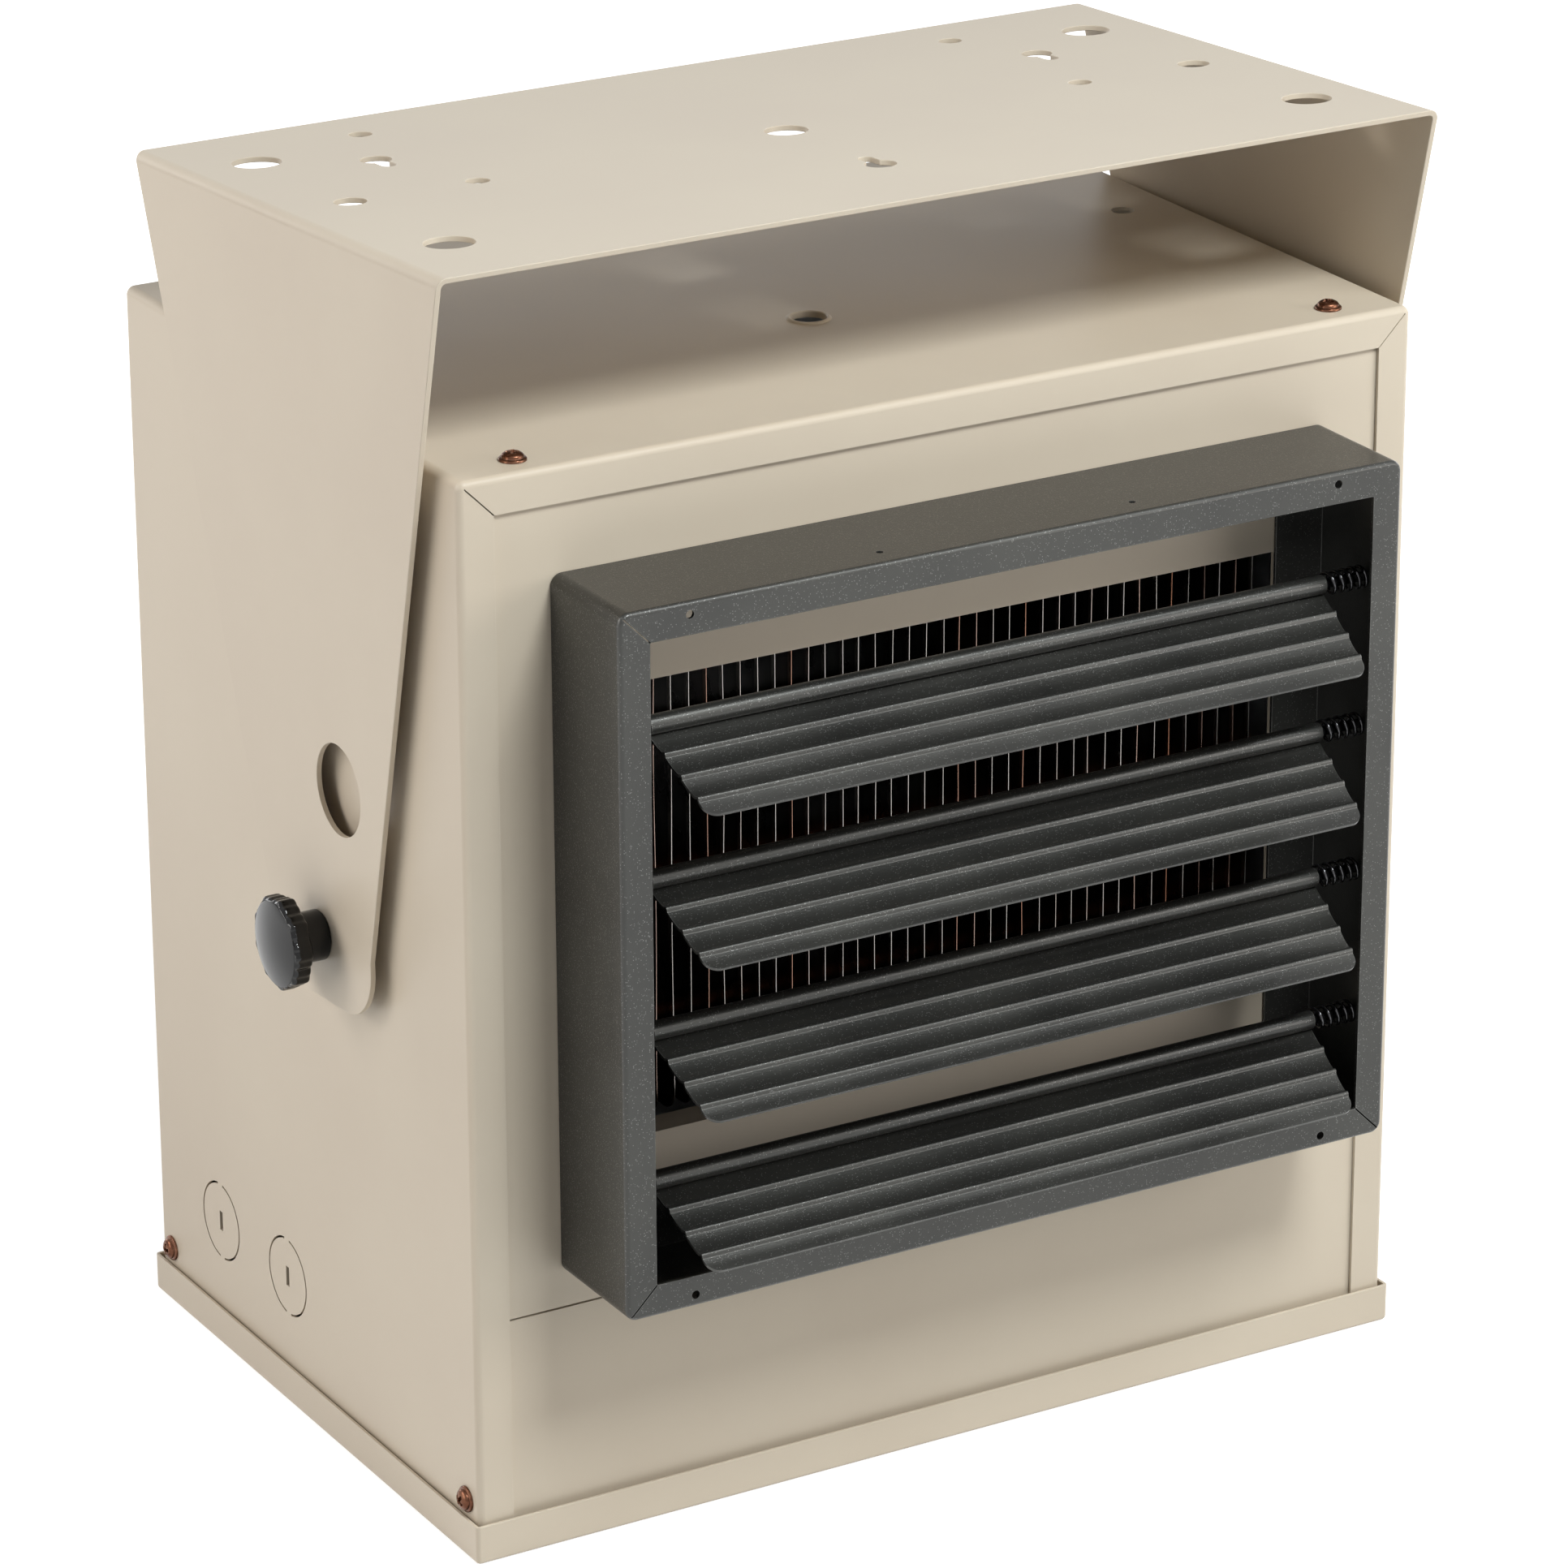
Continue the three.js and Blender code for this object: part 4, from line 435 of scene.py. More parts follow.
DUST, given, result = new_group("settled_dust", {"Amount": 0.3}, ("Mask",))
facing = DUST.nodes.new("ShaderNodeSeparateXYZ")
give(DUST, facing.inputs[0], coordinates(DUST, "Normal"))
upward = remap(DUST, facing.outputs[2], 0.3, 0.95)
clumps = maths(DUST, "MULTIPLY", remap(DUST, noise(DUST, 45.0), 0.35, 0.65), given["Amount"])
give(DUST, result["Mask"], maths(DUST, "MULTIPLY", upward, clumps))
print("groups:", ", ".join(group.name for group in (GRAIN, FLAKES, SCUFF_AND_HIGHLIGHT, DUST)))

# %% [markdown]
# ## Finishes
# A finish is two close colours that drift into each other, a roughness that drifts with them, and a
# relief. Colours are given as the eye reads them, 0 to 255, and turned into light values. What is the
# same all over, such as metal or coat, sits on the shader's own socket.

# %% One function for all finishes
def linear(colour):
    """Light values of a colour: each channel is (c / 255) to the power 2.2."""
    return (*[(c / 255) ** 2.2 for c in colour], 1)


def mixed(tree, share, first, second):
    """Colour between two, by a share from 0 to 1."""
    node = tree.nodes.new("ShaderNodeMix")
    node.data_type = "RGBA"
    for socket, value in zip((node.inputs[0], node.inputs[6], node.inputs[7]), (share, first, second)):
        give(tree, socket, value)
    return node.outputs[2]


def placed(tree, group, **values):
    """A group in a material, with the material's own values."""
    node = tree.nodes.new("ShaderNodeGroup")
    node.node_tree = group
    for name, value in values.items():
        node.inputs[name].default_value = value
    return node.outputs


FLAKE_SHARE, FLAKE_COLOUR, DUST_COLOUR, COAT_ROUGH = 0.14, (225, 225, 222), (188, 180, 168), 0.08


def finish(name, dark, light, rough, metal=0.0, fine=900.0, coarse=12.0, spread=0.0, relief=0.0,
           depth=0.05, coat=0.0, gloss=0.5, flakes=0.0, scuff_highlight_colour=None, scuff_highlight_amount=0.0, dust=0.0):
    """Colour: dark to light by the slow shade, then flakes, paler edges (scuffing plus a painted
    highlight) and dust mixed over it.
    Roughness: rough, plus or minus spread by the same shade. Relief: the fine grain, depth in mm.
    Coat is a clear skin, and gloss the strength of the sheen under it."""
    material = bpy.data.materials.new(name)
    material.use_nodes = True
    tree = material.node_tree
    shader = tree.nodes["Principled BSDF"]
    grain = placed(tree, GRAIN, Fine=fine, Coarse=coarse)
    colour = mixed(tree, grain["Shade"], linear(dark), linear(light))
    roughness = remap(tree, grain["Shade"], 0.0, 1.0, rough - spread, rough + spread)
    if flakes:
        bright = placed(tree, FLAKES, Scale=fine, Share=FLAKE_SHARE)["Mask"]
        colour = mixed(tree, maths(tree, "MULTIPLY", bright, flakes), colour, linear(FLAKE_COLOUR))
    # Scuffing and painted highlight: edges are mixed towards a paler colour.
    if scuff_highlight_colour:
        scuff_highlight_mask = maths(tree, "MULTIPLY", placed(tree, SCUFF_AND_HIGHLIGHT)["Mask"], scuff_highlight_amount)
        colour = mixed(tree, scuff_highlight_mask, colour, linear(scuff_highlight_colour))
    if dust:
        colour = mixed(tree, placed(tree, DUST, Amount=dust)["Mask"], colour, linear(DUST_COLOUR))
    give(tree, shader.inputs["Base Color"], colour)
    give(tree, shader.inputs["Roughness"], roughness if spread else rough)
    shader.inputs["Metallic"].default_value = metal
    shader.inputs["Coat Weight"].default_value = coat
    shader.inputs["Specular IOR Level"].default_value = gloss
    shader.inputs["Coat Roughness"].default_value = COAT_ROUGH
    if relief:
        bump = tree.nodes.new("ShaderNodeBump")
        bump.inputs["Strength"].default_value = relief
        bump.inputs["Distance"].default_value = depth * 0.001
        give(tree, bump.inputs["Height"], grain["Height"])
        give(tree, shader.inputs["Normal"], bump.outputs[0])
    print(f"finish {name}: roughness {rough}, metal {metal}")
    return material


print("a grey of 128 is", round(linear((128, 128, 128))[0], 3), "as light")

# %% [markdown]
# The cabinet and the bracket are sprayed in beige satin enamel: hardly any mottling, a very fine
# orange peel, and paler edges, partly where the coat draws thin and partly a painted highlight along
# the folds. The louvre is powder coated in a warm dark grey with small bright flakes, and its edges are
# painted paler too, as scuffing and as a painted highlight.

# %% Paints
# The paler edge colours below are partly scuffing, partly a painted highlight.
PAINT = finish("beige_enamel", (202, 189, 170), (206, 194, 175), 0.36, fine=650, spread=0.02,
               relief=0.1, gloss=0.28, scuff_highlight_colour=(226, 218, 206), scuff_highlight_amount=0.35)
POWDER = finish("dark_powder_coat", (56, 56, 54), (64, 64, 61), 0.34, metal=0.6, fine=2200, coarse=25,
                spread=0.03, relief=0.6, depth=0.12, coat=0.22, flakes=0.16, scuff_highlight_colour=(146, 146, 142),
                scuff_highlight_amount=0.35)
ENAMEL = finish("motor_enamel", (26, 28, 31), (36, 38, 42), 0.35, fine=600, relief=0.15, spread=0.04,
                dust=0.25)

# %% [markdown]
# Springs, rods and the guard are black oxide steel, the knobs a glossy black moulding with a clear
# skin of resin, and the screws are plated brown. Inside, everything is left as it comes from the mill:
# galvanised sheet, aluminium, zinc plated steel and varnished copper, a little dusty on top.

# %% Metals and mouldings
BLACK_WIRE = finish("black_oxide_steel", (60, 60, 62), (74, 74, 76), 0.14, metal=0.9, fine=1200,
                    relief=0.04, coat=0.4)
KNOB = finish("black_phenolic", (8, 8, 9), (12, 12, 13), 0.1, fine=500, relief=0.02, gloss=0.32,
              coat=0.1)
# Paler edges: partly scuffed plating, partly a painted highlight.
SCREW = finish("brown_plated_steel", (80, 50, 38), (116, 80, 62), 0.25, metal=0.9, coarse=260,
               spread=0.05, relief=0.1, scuff_highlight_colour=(196, 160, 136), scuff_highlight_amount=0.5)
TUBE = finish("brazed_tube", (112, 58, 36), (160, 96, 66), 0.35, metal=0.9, coarse=90, relief=0.2,
              spread=0.06)
ZINC = finish("zinc_sheet", (150, 152, 154), (184, 186, 188), 0.34, metal=0.95, coarse=70, spread=0.08,
              dust=0.2)
STEEL = finish("bright_steel", (176, 176, 174), (196, 196, 194), 0.25, metal=1.0, coarse=120,
               spread=0.05)
ALUMINIUM = finish("fan_aluminium", (182, 184, 186), (204, 206, 208), 0.32, metal=1.0, coarse=30,
                   spread=0.06, dust=0.15)
PHENOLIC = finish("dark_phenolic", (24, 22, 21), (34, 31, 30), 0.5, coarse=80, spread=0.05, dust=0.2)
WINDING = finish("varnished_copper", (120, 58, 26), (164, 92, 48), 0.35, metal=0.7, coarse=80,
                 spread=0.06)

# %% [markdown]
# ## Cabinet wrapper
# The top and both side walls are one sheet, folded down over a form, with flanges turned inwards at
# the front and the back. A box with the hollow cut out of it gives the same shell as folding would, and
# is simpler: a loft draws the outside with quarter circles at both ends, and a prism takes the inside
# out. At the front corners the flanges meet in a mitre that stays open as a hair line, and in the left
# wall two discs for cable fittings are half punched, held by thin ties.

# %% Cabinet shell
def arch(half, bottom, top, r):
    """Outline of the wrapper from the front: square at the bottom, rounded at the top."""
    return rounded([(-half, bottom, 0), (half, bottom, 0), (half, top, r), (-half, top, r)])


def fold_curve(r, steps=6):
    """Outside of a fold, a quarter circle: it lies r (1 - sin a) in from the face, at r (1 - cos a)
    from the edge, for a from 0 to 90 degrees."""
    quarter = np.linspace(0, math.pi / 2, steps + 1)
    return r * (1 - np.sin(quarter)), r * (1 - np.cos(quarter))


def folded_ends(shape, start, end, r):
    """Outline shape(inset) carried along Y, with the inset of a fold's curve at both ends."""
    insets, distances = fold_curve(r)
    near = [flat(shape(i), "y", start + d) for i, d in zip(insets, distances)]
    far = [flat(shape(i), "y", end - d) for i, d in zip(insets[::-1], distances[::-1])]
    return welded(loft(near + far))


ROOF = 3.0  # outer radius between the top and a wall
shell = folded_ends(lambda i: arch(HALF - i, -4, HEIGHT - i, ROOF - i), 0, DEPTH, FOLD)
hollow = welded(prism(arch(HALF - SHEET, -6, HEIGHT - SHEET, ROOF - SHEET), "y", SHEET, DEPTH - SHEET))
window = block(-HALF + FLANGE, HALF - FLANGE, -1, DEPTH + 1, -6, HEIGHT - FLANGE)
foot = block(-HALF - 9, HALF + 9, -9, DEPTH + 9, -9, 1.5)
print("shell", len(shell[0]), "points, hollow", len(hollow[0]))


# %% Holes of the wrapper
MITRE_GAP = 0.44
THROUGH_WALL = (-HALF - 1, -HALF + SHEET + 1)
THROUGH_TOP = (HEIGHT - 8, HEIGHT + 2)


def slit(corner_x, corner_z, y0, y1, inward_x, inward_z, wide, reach):
    """Mitre gap: a thin bar at 45 degrees that ends at a flange's inner corner, wide from the edge."""
    bar = block(-reach / math.sqrt(2), reach / math.sqrt(2), y0, y1, -MITRE_GAP / 2, MITRE_GAP / 2)
    middle = wide - reach / 2
    place = (corner_x + inward_x * middle, 0, corner_z + inward_z * middle)
    return moved(bar, place, turning("Y", -math.pi / 4 * inward_x * inward_z))


def ring_groove(y, z, diameter, gap, tie):
    """Two arcs through the left wall: out at radius R and back at R - gap, a tie angle apart."""
    grooves = []
    for side in (math.pi / 2, -math.pi / 2):
        a = np.linspace(side + tie / 2, side + math.pi - tie / 2, 33)
        r = np.repeat([diameter / 2, diameter / 2 - gap], len(a))
        a = np.concatenate([a, a[::-1]])
        arc = np.column_stack([y + r * np.cos(a), z + r * np.sin(a)])
        grooves.append(prism(arc, "x", *THROUGH_WALL))
    return grooves


KNOCKOUT, KNOCKOUT_Z, KNOCKOUT_Y = 28.6, 46.3, (189.4, 137.9)
GROOVE, TIE, SLOT_WIDTH, SLOT_LENGTH = 0.8, math.radians(14), 2.3, 7.2
TOP_SCREW_X, TOP_SCREW_Y, SCREW_HOLE = 152.4, 11.5, 4.6
PLAIN_X, PLAIN_Y, PLAIN_HOLE, LIFTING_HOLE, KNOB_HOLE = 155.9, 141.3, 8, 14.4, 8.4
holes = [rod("z", *THROUGH_TOP, s * PLAIN_X, PLAIN_Y, PLAIN_HOLE) for _, s in SIDES]
holes += [rod("z", *THROUGH_TOP, s * TOP_SCREW_X, TOP_SCREW_Y, SCREW_HOLE, 24) for _, s in SIDES]
holes += [rod("z", *THROUGH_TOP, 0, TILT_PIVOT[1], LIFTING_HOLE)]
holes += [rod("x", s * (HALF - 3), s * (HALF + 3), *TILT_PIVOT[1:], KNOB_HOLE) for _, s in SIDES]
for y in KNOCKOUT_Y:
    holes += ring_groove(y, KNOCKOUT_Z, KNOCKOUT, GROOVE, TIE)
    holes.append(block(*THROUGH_WALL, y - SLOT_WIDTH / 2, y + SLOT_WIDTH / 2,
                       KNOCKOUT_Z - SLOT_LENGTH / 2, KNOCKOUT_Z + SLOT_LENGTH / 2))
holes += [slit(s * HALF, HEIGHT, -1, SHEET + 1, -s, -1, FLANGE, FLANGE - FOLD) for _, s in SIDES]
wrapper = carve(shell, ("DIFFERENCE", hollow), ("DIFFERENCE", merge(window, foot)),
                ("DIFFERENCE", merge(*holes)))
print("wrapper with", len(holes), "holes")


# %% [markdown]
# The lifting hole in the top has a rolled lip that stands a little above the sheet and catches the
# light. A lathe is the natural tool for it: a profile of radius and depth is turned about an axis.

# %% Lathe and collar
def lathe_loops(profile, steps):
    """Each profile point (r, y) runs round the Y axis as (r cos a, y, r sin a)."""
    r, y = np.asarray(profile, float).T[..., None]
    a = whole_turn(steps)
    return np.stack(np.broadcast_arrays(r * np.cos(a), y, r * np.sin(a)), -1)


def turned(profile, steps=64, ring=False):
    """Lathe about Y. A radius of 0 closes an end in a point, and ring closes the profile itself."""
    return welded(loft(lathe_loops(profile, steps), ring))


lip = [(7.7, 0), (7.3, -0.4), (6.8, -0.65), (6.35, -0.6), (6.05, -0.25), (6.0, 0.4), (6.0, 1.7),
       (7.7, 1.7)]
collar = moved(turned(lip, 48, ring=True), (0, TILT_PIVOT[1], HEIGHT), turning("X", -math.pi / 2))
piece("wrapper_sheet", merge(wrapper, collar), PAINT, "cabinet", ["cabinet_wrapper"], edge=0.2)

# %% [markdown]
# ## Bottom tray
# A pan that the walls stand in. Its rim is just outside them, so a thin dark line runs above it all
# the way round, and its lower edge is a soft fold. Four tabs inside carry the screws.

# %% Tray
RIM, RIM_TOP, TRAY_FOLD, TRAY_CORNER = 2.0, 13.7, 1.6, 1.5
RIM_GAP, INNER_CORNER = 0.9, 0.6
TAB_Y, TAB_HALF, TAB_IN = (8.7, 230.6), 5.5, 2.7


def tray_outline(grow, r):
    """The cabinet's plan, grown on all sides."""
    return rectangle(-HALF - grow, HALF + grow, -grow, DEPTH + grow, r, 6)


pan_loops = [flat(tray_outline(RIM - i, TRAY_CORNER - i / 2), "z", z)
             for i, z in zip(*fold_curve(TRAY_FOLD))]
pan_loops.append(flat(tray_outline(RIM, TRAY_CORNER), "z", RIM_TOP))
pan = carve(loft(pan_loops), ("DIFFERENCE", prism(tray_outline(RIM_GAP, INNER_CORNER), "z", SHEET, 20)))
tab_top, tab_x = span("bottom_tray")[1][2], HALF - TAB_IN
tabs = [block(s * tab_x - SHEET / 2 + s * SHEET / 2, s * tab_x + SHEET / 2 + s * SHEET / 2,
              y - TAB_HALF, y + TAB_HALF, 1, tab_top) for _, s in SIDES for y in TAB_Y]
piece("tray_pan", merge(pan, *tabs), PAINT, "cabinet", ["bottom_tray"], edge=0.2)

# %% [markdown]
# ## Yoke bracket
# One strip of thicker steel: a wide plate for the ceiling and two tapering arms. From the front it is
# an upside-down U, and from the side a shape that narrows to a round foot. Carrying the U through and
# keeping only what lies inside the side outline gives both at once. It is drawn upright from its pivot,
# with u along the plate and v up, and leaned back at the end, as the photograph shows it.

# %% Bracket sheet
PLATE, GAUGE, PLATE_HALF, YOKE_FOLD = 240.8, 1.9, 107.8, 3.6
ARM = span("mounting_bracket")[1][0]
FOOT_HALF, FOOT_DROP, FOOT_ROUND = 35.5, 22.5, 20
KEY_ROUND, KEY_SLOT, KEY_REACH = 5.25, 2.5, 9.25


def yoke(inset):
    """U outline from the front, drawn in by an inset."""
    side, top, r = ARM - inset, PLATE - inset, YOKE_FOLD - inset
    return rounded([(-side, -FOOT_DROP, 0), (side, -FOOT_DROP, 0), (side, top, r), (-side, top, r)])


def keyhole(x, y, towards):
    """Large arc round (x, y), left open where the slot begins, and the slot's half circle, a reach
    further on. The opening spans asin(slot / round) to both sides of the slot's direction."""
    neck = math.asin(KEY_SLOT / KEY_ROUND)
    a, b = np.linspace(neck, 2 * math.pi - neck, 33), np.linspace(-math.pi / 2, math.pi / 2, 13)
    along = np.concatenate([KEY_ROUND * np.cos(a), KEY_REACH + KEY_SLOT * np.cos(b)])
    across = np.concatenate([KEY_ROUND * np.sin(a), KEY_SLOT * np.sin(b)])
    return np.column_stack([x + across, y + towards * along])


def distinct(points):
    """Outline without the points that repeat the one before."""
    return points[np.linalg.norm(points - np.roll(points, 1, 0), axis=1) > 1e-6]


front_edge = [(-PLATE_HALF, PLATE + 1, 0), (-FOOT_HALF, 0, 0), (-FOOT_HALF, -FOOT_DROP, FOOT_ROUND)]
back_edge = [(-u, v, r) for u, v, r in reversed(front_edge)]
side_view = distinct(rounded(front_edge + back_edge, 12))
BOLT_X, BOLT_U, BOLT_HOLE, MIDDLE_HOLE, EDGE_HOLE = 159.5, 67.6, 16.5, 14.5, 10.7
plate_holes = [circle(x, u, BOLT_HOLE) for x in (-BOLT_X, BOLT_X) for u in (-BOLT_U, BOLT_U)]
plate_holes += [circle(0, 0, MIDDLE_HOLE), *[circle(x, 0, EDGE_HOLE) for x in (-BOLT_X, BOLT_X)]]
SMALL_X, SMALL_U, SMALL_HOLE, KEY_X, KEY_U, REAR_KEY_U = 114, (0, 83), 7.9, 126.6, 47, -60
plate_holes += [circle(x, u, SMALL_HOLE, 32) for x in (-SMALL_X, SMALL_X) for u in SMALL_U]
plate_holes += [keyhole(-KEY_X, KEY_U, -1), keyhole(KEY_X, KEY_U, -1), keyhole(0, REAR_KEY_U, 1)]
print("plate with", len(plate_holes), "holes, arms at", round(ARM, 1))


# %% Bracket carved and leaned
ARM_HOLE, ARM_HOLE_U, ARM_HOLE_V, STUD_HOLE = 31, -19.2, 54.5, 8.8
BRACKET_LEAN = math.radians(3.4)


def leaned(solid):
    """Points (x, u, v) turned about the pivot: y = u cos + v sin, z = v cos - u sin."""
    return moved(solid, TILT_PIVOT, turning("X", -BRACKET_LEAN))


cuts = [prism(hole, "z", PLATE - 5, PLATE + 5) for hole in plate_holes]
for place in ((0, 0, STUD_HOLE, 48), (ARM_HOLE_U, ARM_HOLE_V, ARM_HOLE, 64)):
    cuts += [rod("x", s * (ARM - 5), s * (ARM + 5), *place) for _, s in SIDES]
inside = moved(welded(prism(yoke(GAUGE), "y", -PLATE_HALF - 5, PLATE_HALF + 5)), (0, 0, -0.001))
bracket = carve(welded(prism(yoke(0), "y", -PLATE_HALF - 2, PLATE_HALF + 2)), ("DIFFERENCE", inside),
                ("INTERSECT", prism(side_view, "x", -ARM - 5, ARM + 5)), ("DIFFERENCE", merge(*cuts)))
piece("bracket_sheet", leaned(bracket), PAINT, "bracket", ["mounting_bracket"], edge=0.25)

# %% [markdown]
# ## Louvre frame
# A deep frame folded from strip: a narrow face in front, four walls, and a wider flange that sits on
# the outlet panel. The face is a separate fold on each wall, so its corners are mitred, and three of
# them stay slightly open.

# %% Frame
FRAME_LOW, FRAME_HIGH = span("louvre_frame")
FX, FACE, FZ0, FZ1 = FRAME_HIGH[0], FRAME_LOW[1], FRAME_LOW[2], FRAME_HIGH[2]
BEND, LIP, BASE, FRAME_CORNER = 1.6, 10.9, 19.5, 4.0


def frame_outline(inset):
    """The frame from the front, drawn in by an inset."""
    r = max(FRAME_CORNER - inset, 0.3)
    return rectangle(-FX + inset, FX - inset, FZ0 + inset, FZ1 - inset, r)


strip_loops = [flat(frame_outline(i), "y", FACE + d) for i, d in zip(*fold_curve(BEND, 5))]
strip = loft([*strip_loops, flat(frame_outline(0), "y", SHEET)])
FACE_HOLE, FACE_HOLE_X, FACE_HOLE_IN = 2.8, 120.5, 4.2
WALL_HOLE, WALL_HOLE_X, WALL_HOLE_BACK = 2.4, 47, 9.5
small = [rod("y", FACE - 2, FACE + 3, x, z, FACE_HOLE, 24)
         for x in (-FACE_HOLE_X, FACE_HOLE_X) for z in (FZ0 + FACE_HOLE_IN, FZ1 - FACE_HOLE_IN)]
small += [rod("z", FZ1 - 3, FZ1 + 3, x, FACE + WALL_HOLE_BACK, WALL_HOLE, 24)
          for x in (-WALL_HOLE_X, WALL_HOLE_X)]
small += [slit(x, z, FACE - 1, FACE + 2.2, -np.sign(x), -1 if z == FZ1 else 1, LIP, LIP - BEND)
          for x, z in ((-FX, FZ1), (-FX, FZ0), (FX, FZ0))]
opening = prism(rectangle(-FX + LIP, FX - LIP, FZ0 + LIP, FZ1 - LIP, 0.4, 2), "y", FACE - 2, FACE + 3)
louvre_frame = carve(
    strip,
    ("DIFFERENCE", prism(frame_outline(SHEET), "y", FACE + SHEET, 0)),
    ("DIFFERENCE", opening),
    ("DIFFERENCE", block(-FX + BASE, FX - BASE, -3, 3, FZ0 + BASE, FZ1 - BASE)),
    ("DIFFERENCE", merge(*small)),
)
piece("louvre_frame_strip", louvre_frame, POWDER, "cabinet", ["louvre_frame"], edge=0.25)

# %% [markdown]
# ## Louvre blades
# Each blade is one strip of thin steel. Its upper edge is rolled round a rod, and three pressed ridges
# stiffen it. They have a narrow crest, the sheet is a little hollow between them, and they run out
# through both cut ends. A grid suits this: one parameter runs along the profile, from the curl to the
# lower edge, and the other along the blade, which gives the outline.

# %% Blade surface
CHORD, ROLL, BLADE_SHEET = 38.2, 3.2, 0.9
RIDGE_FIRST, RIDGE_PITCH = 11.3, 9.9
SWELL_HEIGHT, CREST_HEIGHT, CREST_HALF = 0.6, 0.8, 1.3
BLADE_HALF, BLADE_TAPER, BLADE_CORNER = span("louvre_blade_1")[1][0], 3.6, 4.5
CURL = (-38, 270)  # degrees, from the free edge of the roll to where the flat sheet leaves it
END_STATIONS = np.array([0, 0.5, 2.0, 8.0])  # from each cut end


def ridge(s):
    """Height of the sheet at s, d away from the nearest ridge: a wide swell (1 - d / half pitch)^2,
    hollow between two ridges, and on it a narrow crest cos^2 (d / crest half width, in quarter
    turns)."""
    nearest = RIDGE_FIRST + RIDGE_PITCH * np.clip(np.round((s - RIDGE_FIRST) / RIDGE_PITCH), 0, 2)
    away = np.abs(s - nearest)
    swell = np.maximum(1 - away / (RIDGE_PITCH / 2), 0) ** 2
    crest = np.cos(np.minimum(away / CREST_HALF, 1) * math.pi / 2) ** 2
    return SWELL_HEIGHT * swell + CREST_HEIGHT * crest


def blade_half(s):
    """Half length at s: drawn in evenly towards the lower edge, with a round corner there."""
    reach = np.clip(s, 0, CHORD)
    into = np.maximum(reach - CHORD + BLADE_CORNER, 0)
    round_off = BLADE_CORNER - np.sqrt(np.maximum(BLADE_CORNER ** 2 - into ** 2, 0))
    return BLADE_HALF - BLADE_TAPER * reach / CHORD - round_off


def blade_strip():
    """Middle line: a curl (rc cos a, rc sin a), then (s, ridge - rc). Half the gauge is added and
    taken away along its normal. x is the half length at that station, less the inset."""
    curl, rc = np.radians(np.linspace(*CURL, 40)), ROLL - BLADE_SHEET / 2
    tail = CHORD - BLADE_CORNER
    corner = tail + BLADE_CORNER * np.sin(np.linspace(0.06, math.pi / 2, 20))
    s = np.concatenate([np.linspace(0.4, tail, 150), corner])
    inset = np.concatenate([END_STATIONS, END_STATIONS[::-1]])[:, None]
    sign = np.repeat([-1, 1], len(END_STATIONS))[:, None]
    forward = np.broadcast_to(np.concatenate([rc * np.cos(curl), s]), (len(inset), len(curl) + len(s)))
    up = np.broadcast_to(np.concatenate([rc * np.sin(curl), ridge(s) - rc]), forward.shape)
    run, rise = np.gradient(forward, axis=1), np.gradient(up, axis=1)
    scale = BLADE_SHEET / 2 / np.hypot(run, rise)
    x = sign * (blade_half(forward) - inset)
    upper = np.stack([x, -(forward - rise * scale), up + run * scale], -1)
    lower = np.stack([x, -(forward + rise * scale), up - run * scale], -1)
    return sheet_solid(upper, lower)


BLADE_LEAN = math.radians(28)
blade = moved(blade_strip(), turn=turning("X", BLADE_LEAN))
blade_pivots = {i: np.mean(span(f"pivot_rod_{i}"), axis=0) for i in BLADES}
for i in BLADES:
    piece(f"blade_strip_{i}", moved(blade, blade_pivots[i]), POWDER, f"blade_{i}",
          [f"louvre_blade_{i}"], smooth=50)

# %% [markdown]
# ## Springs
# A short coil on the rod at each end of a blade presses against the frame's wall, and its friction
# holds the blade at the angle it is set to. A wire is a circle carried along a path. On a coil the
# direction away from the axis is known at every point, so it can steer the circle and the wire never
# twists. The last curl is squeezed closer, as it is against a wall.

# %% Spring wire
SPRING_WIRE, WIRE_SIDES = 1.3, 12
CURLS, LAST_CURL, CURL_STEPS = 5, 2.2, 24


def wound(path, wire):
    """Wire along a path round X. Its circle lies between the outward direction, made square to the
    path, and the cross product of the path's direction with it."""
    along = np.gradient(path, axis=0)
    along /= np.linalg.norm(along, axis=1, keepdims=True)
    out = path * (0, 1, 1)
    out -= (out * along).sum(1, keepdims=True) * along
    out /= np.linalg.norm(out, axis=1, keepdims=True)
    beside = np.cross(along, out)
    a = whole_turn(WIRE_SIDES)[None, :, None]
    return loft(path[:, None] + wire / 2 * (np.cos(a) * out[:, None] + np.sin(a) * beside[:, None]))


def spring_path(start, end, diameter, wire):
    """Helix (x, r cos a, r sin a). The angle grows evenly, and x slower over the last curl."""
    turns = np.linspace(0, CURLS, CURLS * CURL_STEPS + 1)
    first, last = start + wire / 2, end - wire / 2
    x = np.interp(turns, [0, CURLS - 1, CURLS], [first, last - LAST_CURL, last])
    r = (diameter - wire) / 2
    return np.column_stack([x, r * np.cos(2 * math.pi * turns), r * np.sin(2 * math.pi * turns)])


low, high = span("spring_right_1")
spring = wound(spring_path(low[0], high[0], high[2] - low[2], SPRING_WIRE), SPRING_WIRE)
for i in BLADES:
    for where, s in SIDES:
        coil = moved(spring, blade_pivots[i], turning("Z", 0 if s > 0 else math.pi))
        piece(f"spring_wire_{where}_{i}", coil, BLACK_WIRE, "cabinet", [f"spring_{where}_{i}"],
              smooth=80)

# %% [markdown]
# ## Heating element
# Behind the louvre, thin steel plates are brazed onto three sheathed heating rods. Each fin is a
# plate with rounded corners and a front edge that handling has left a little bowed. All of them are
# worked out at once, as an array with one more dimension: fin, height and depth.

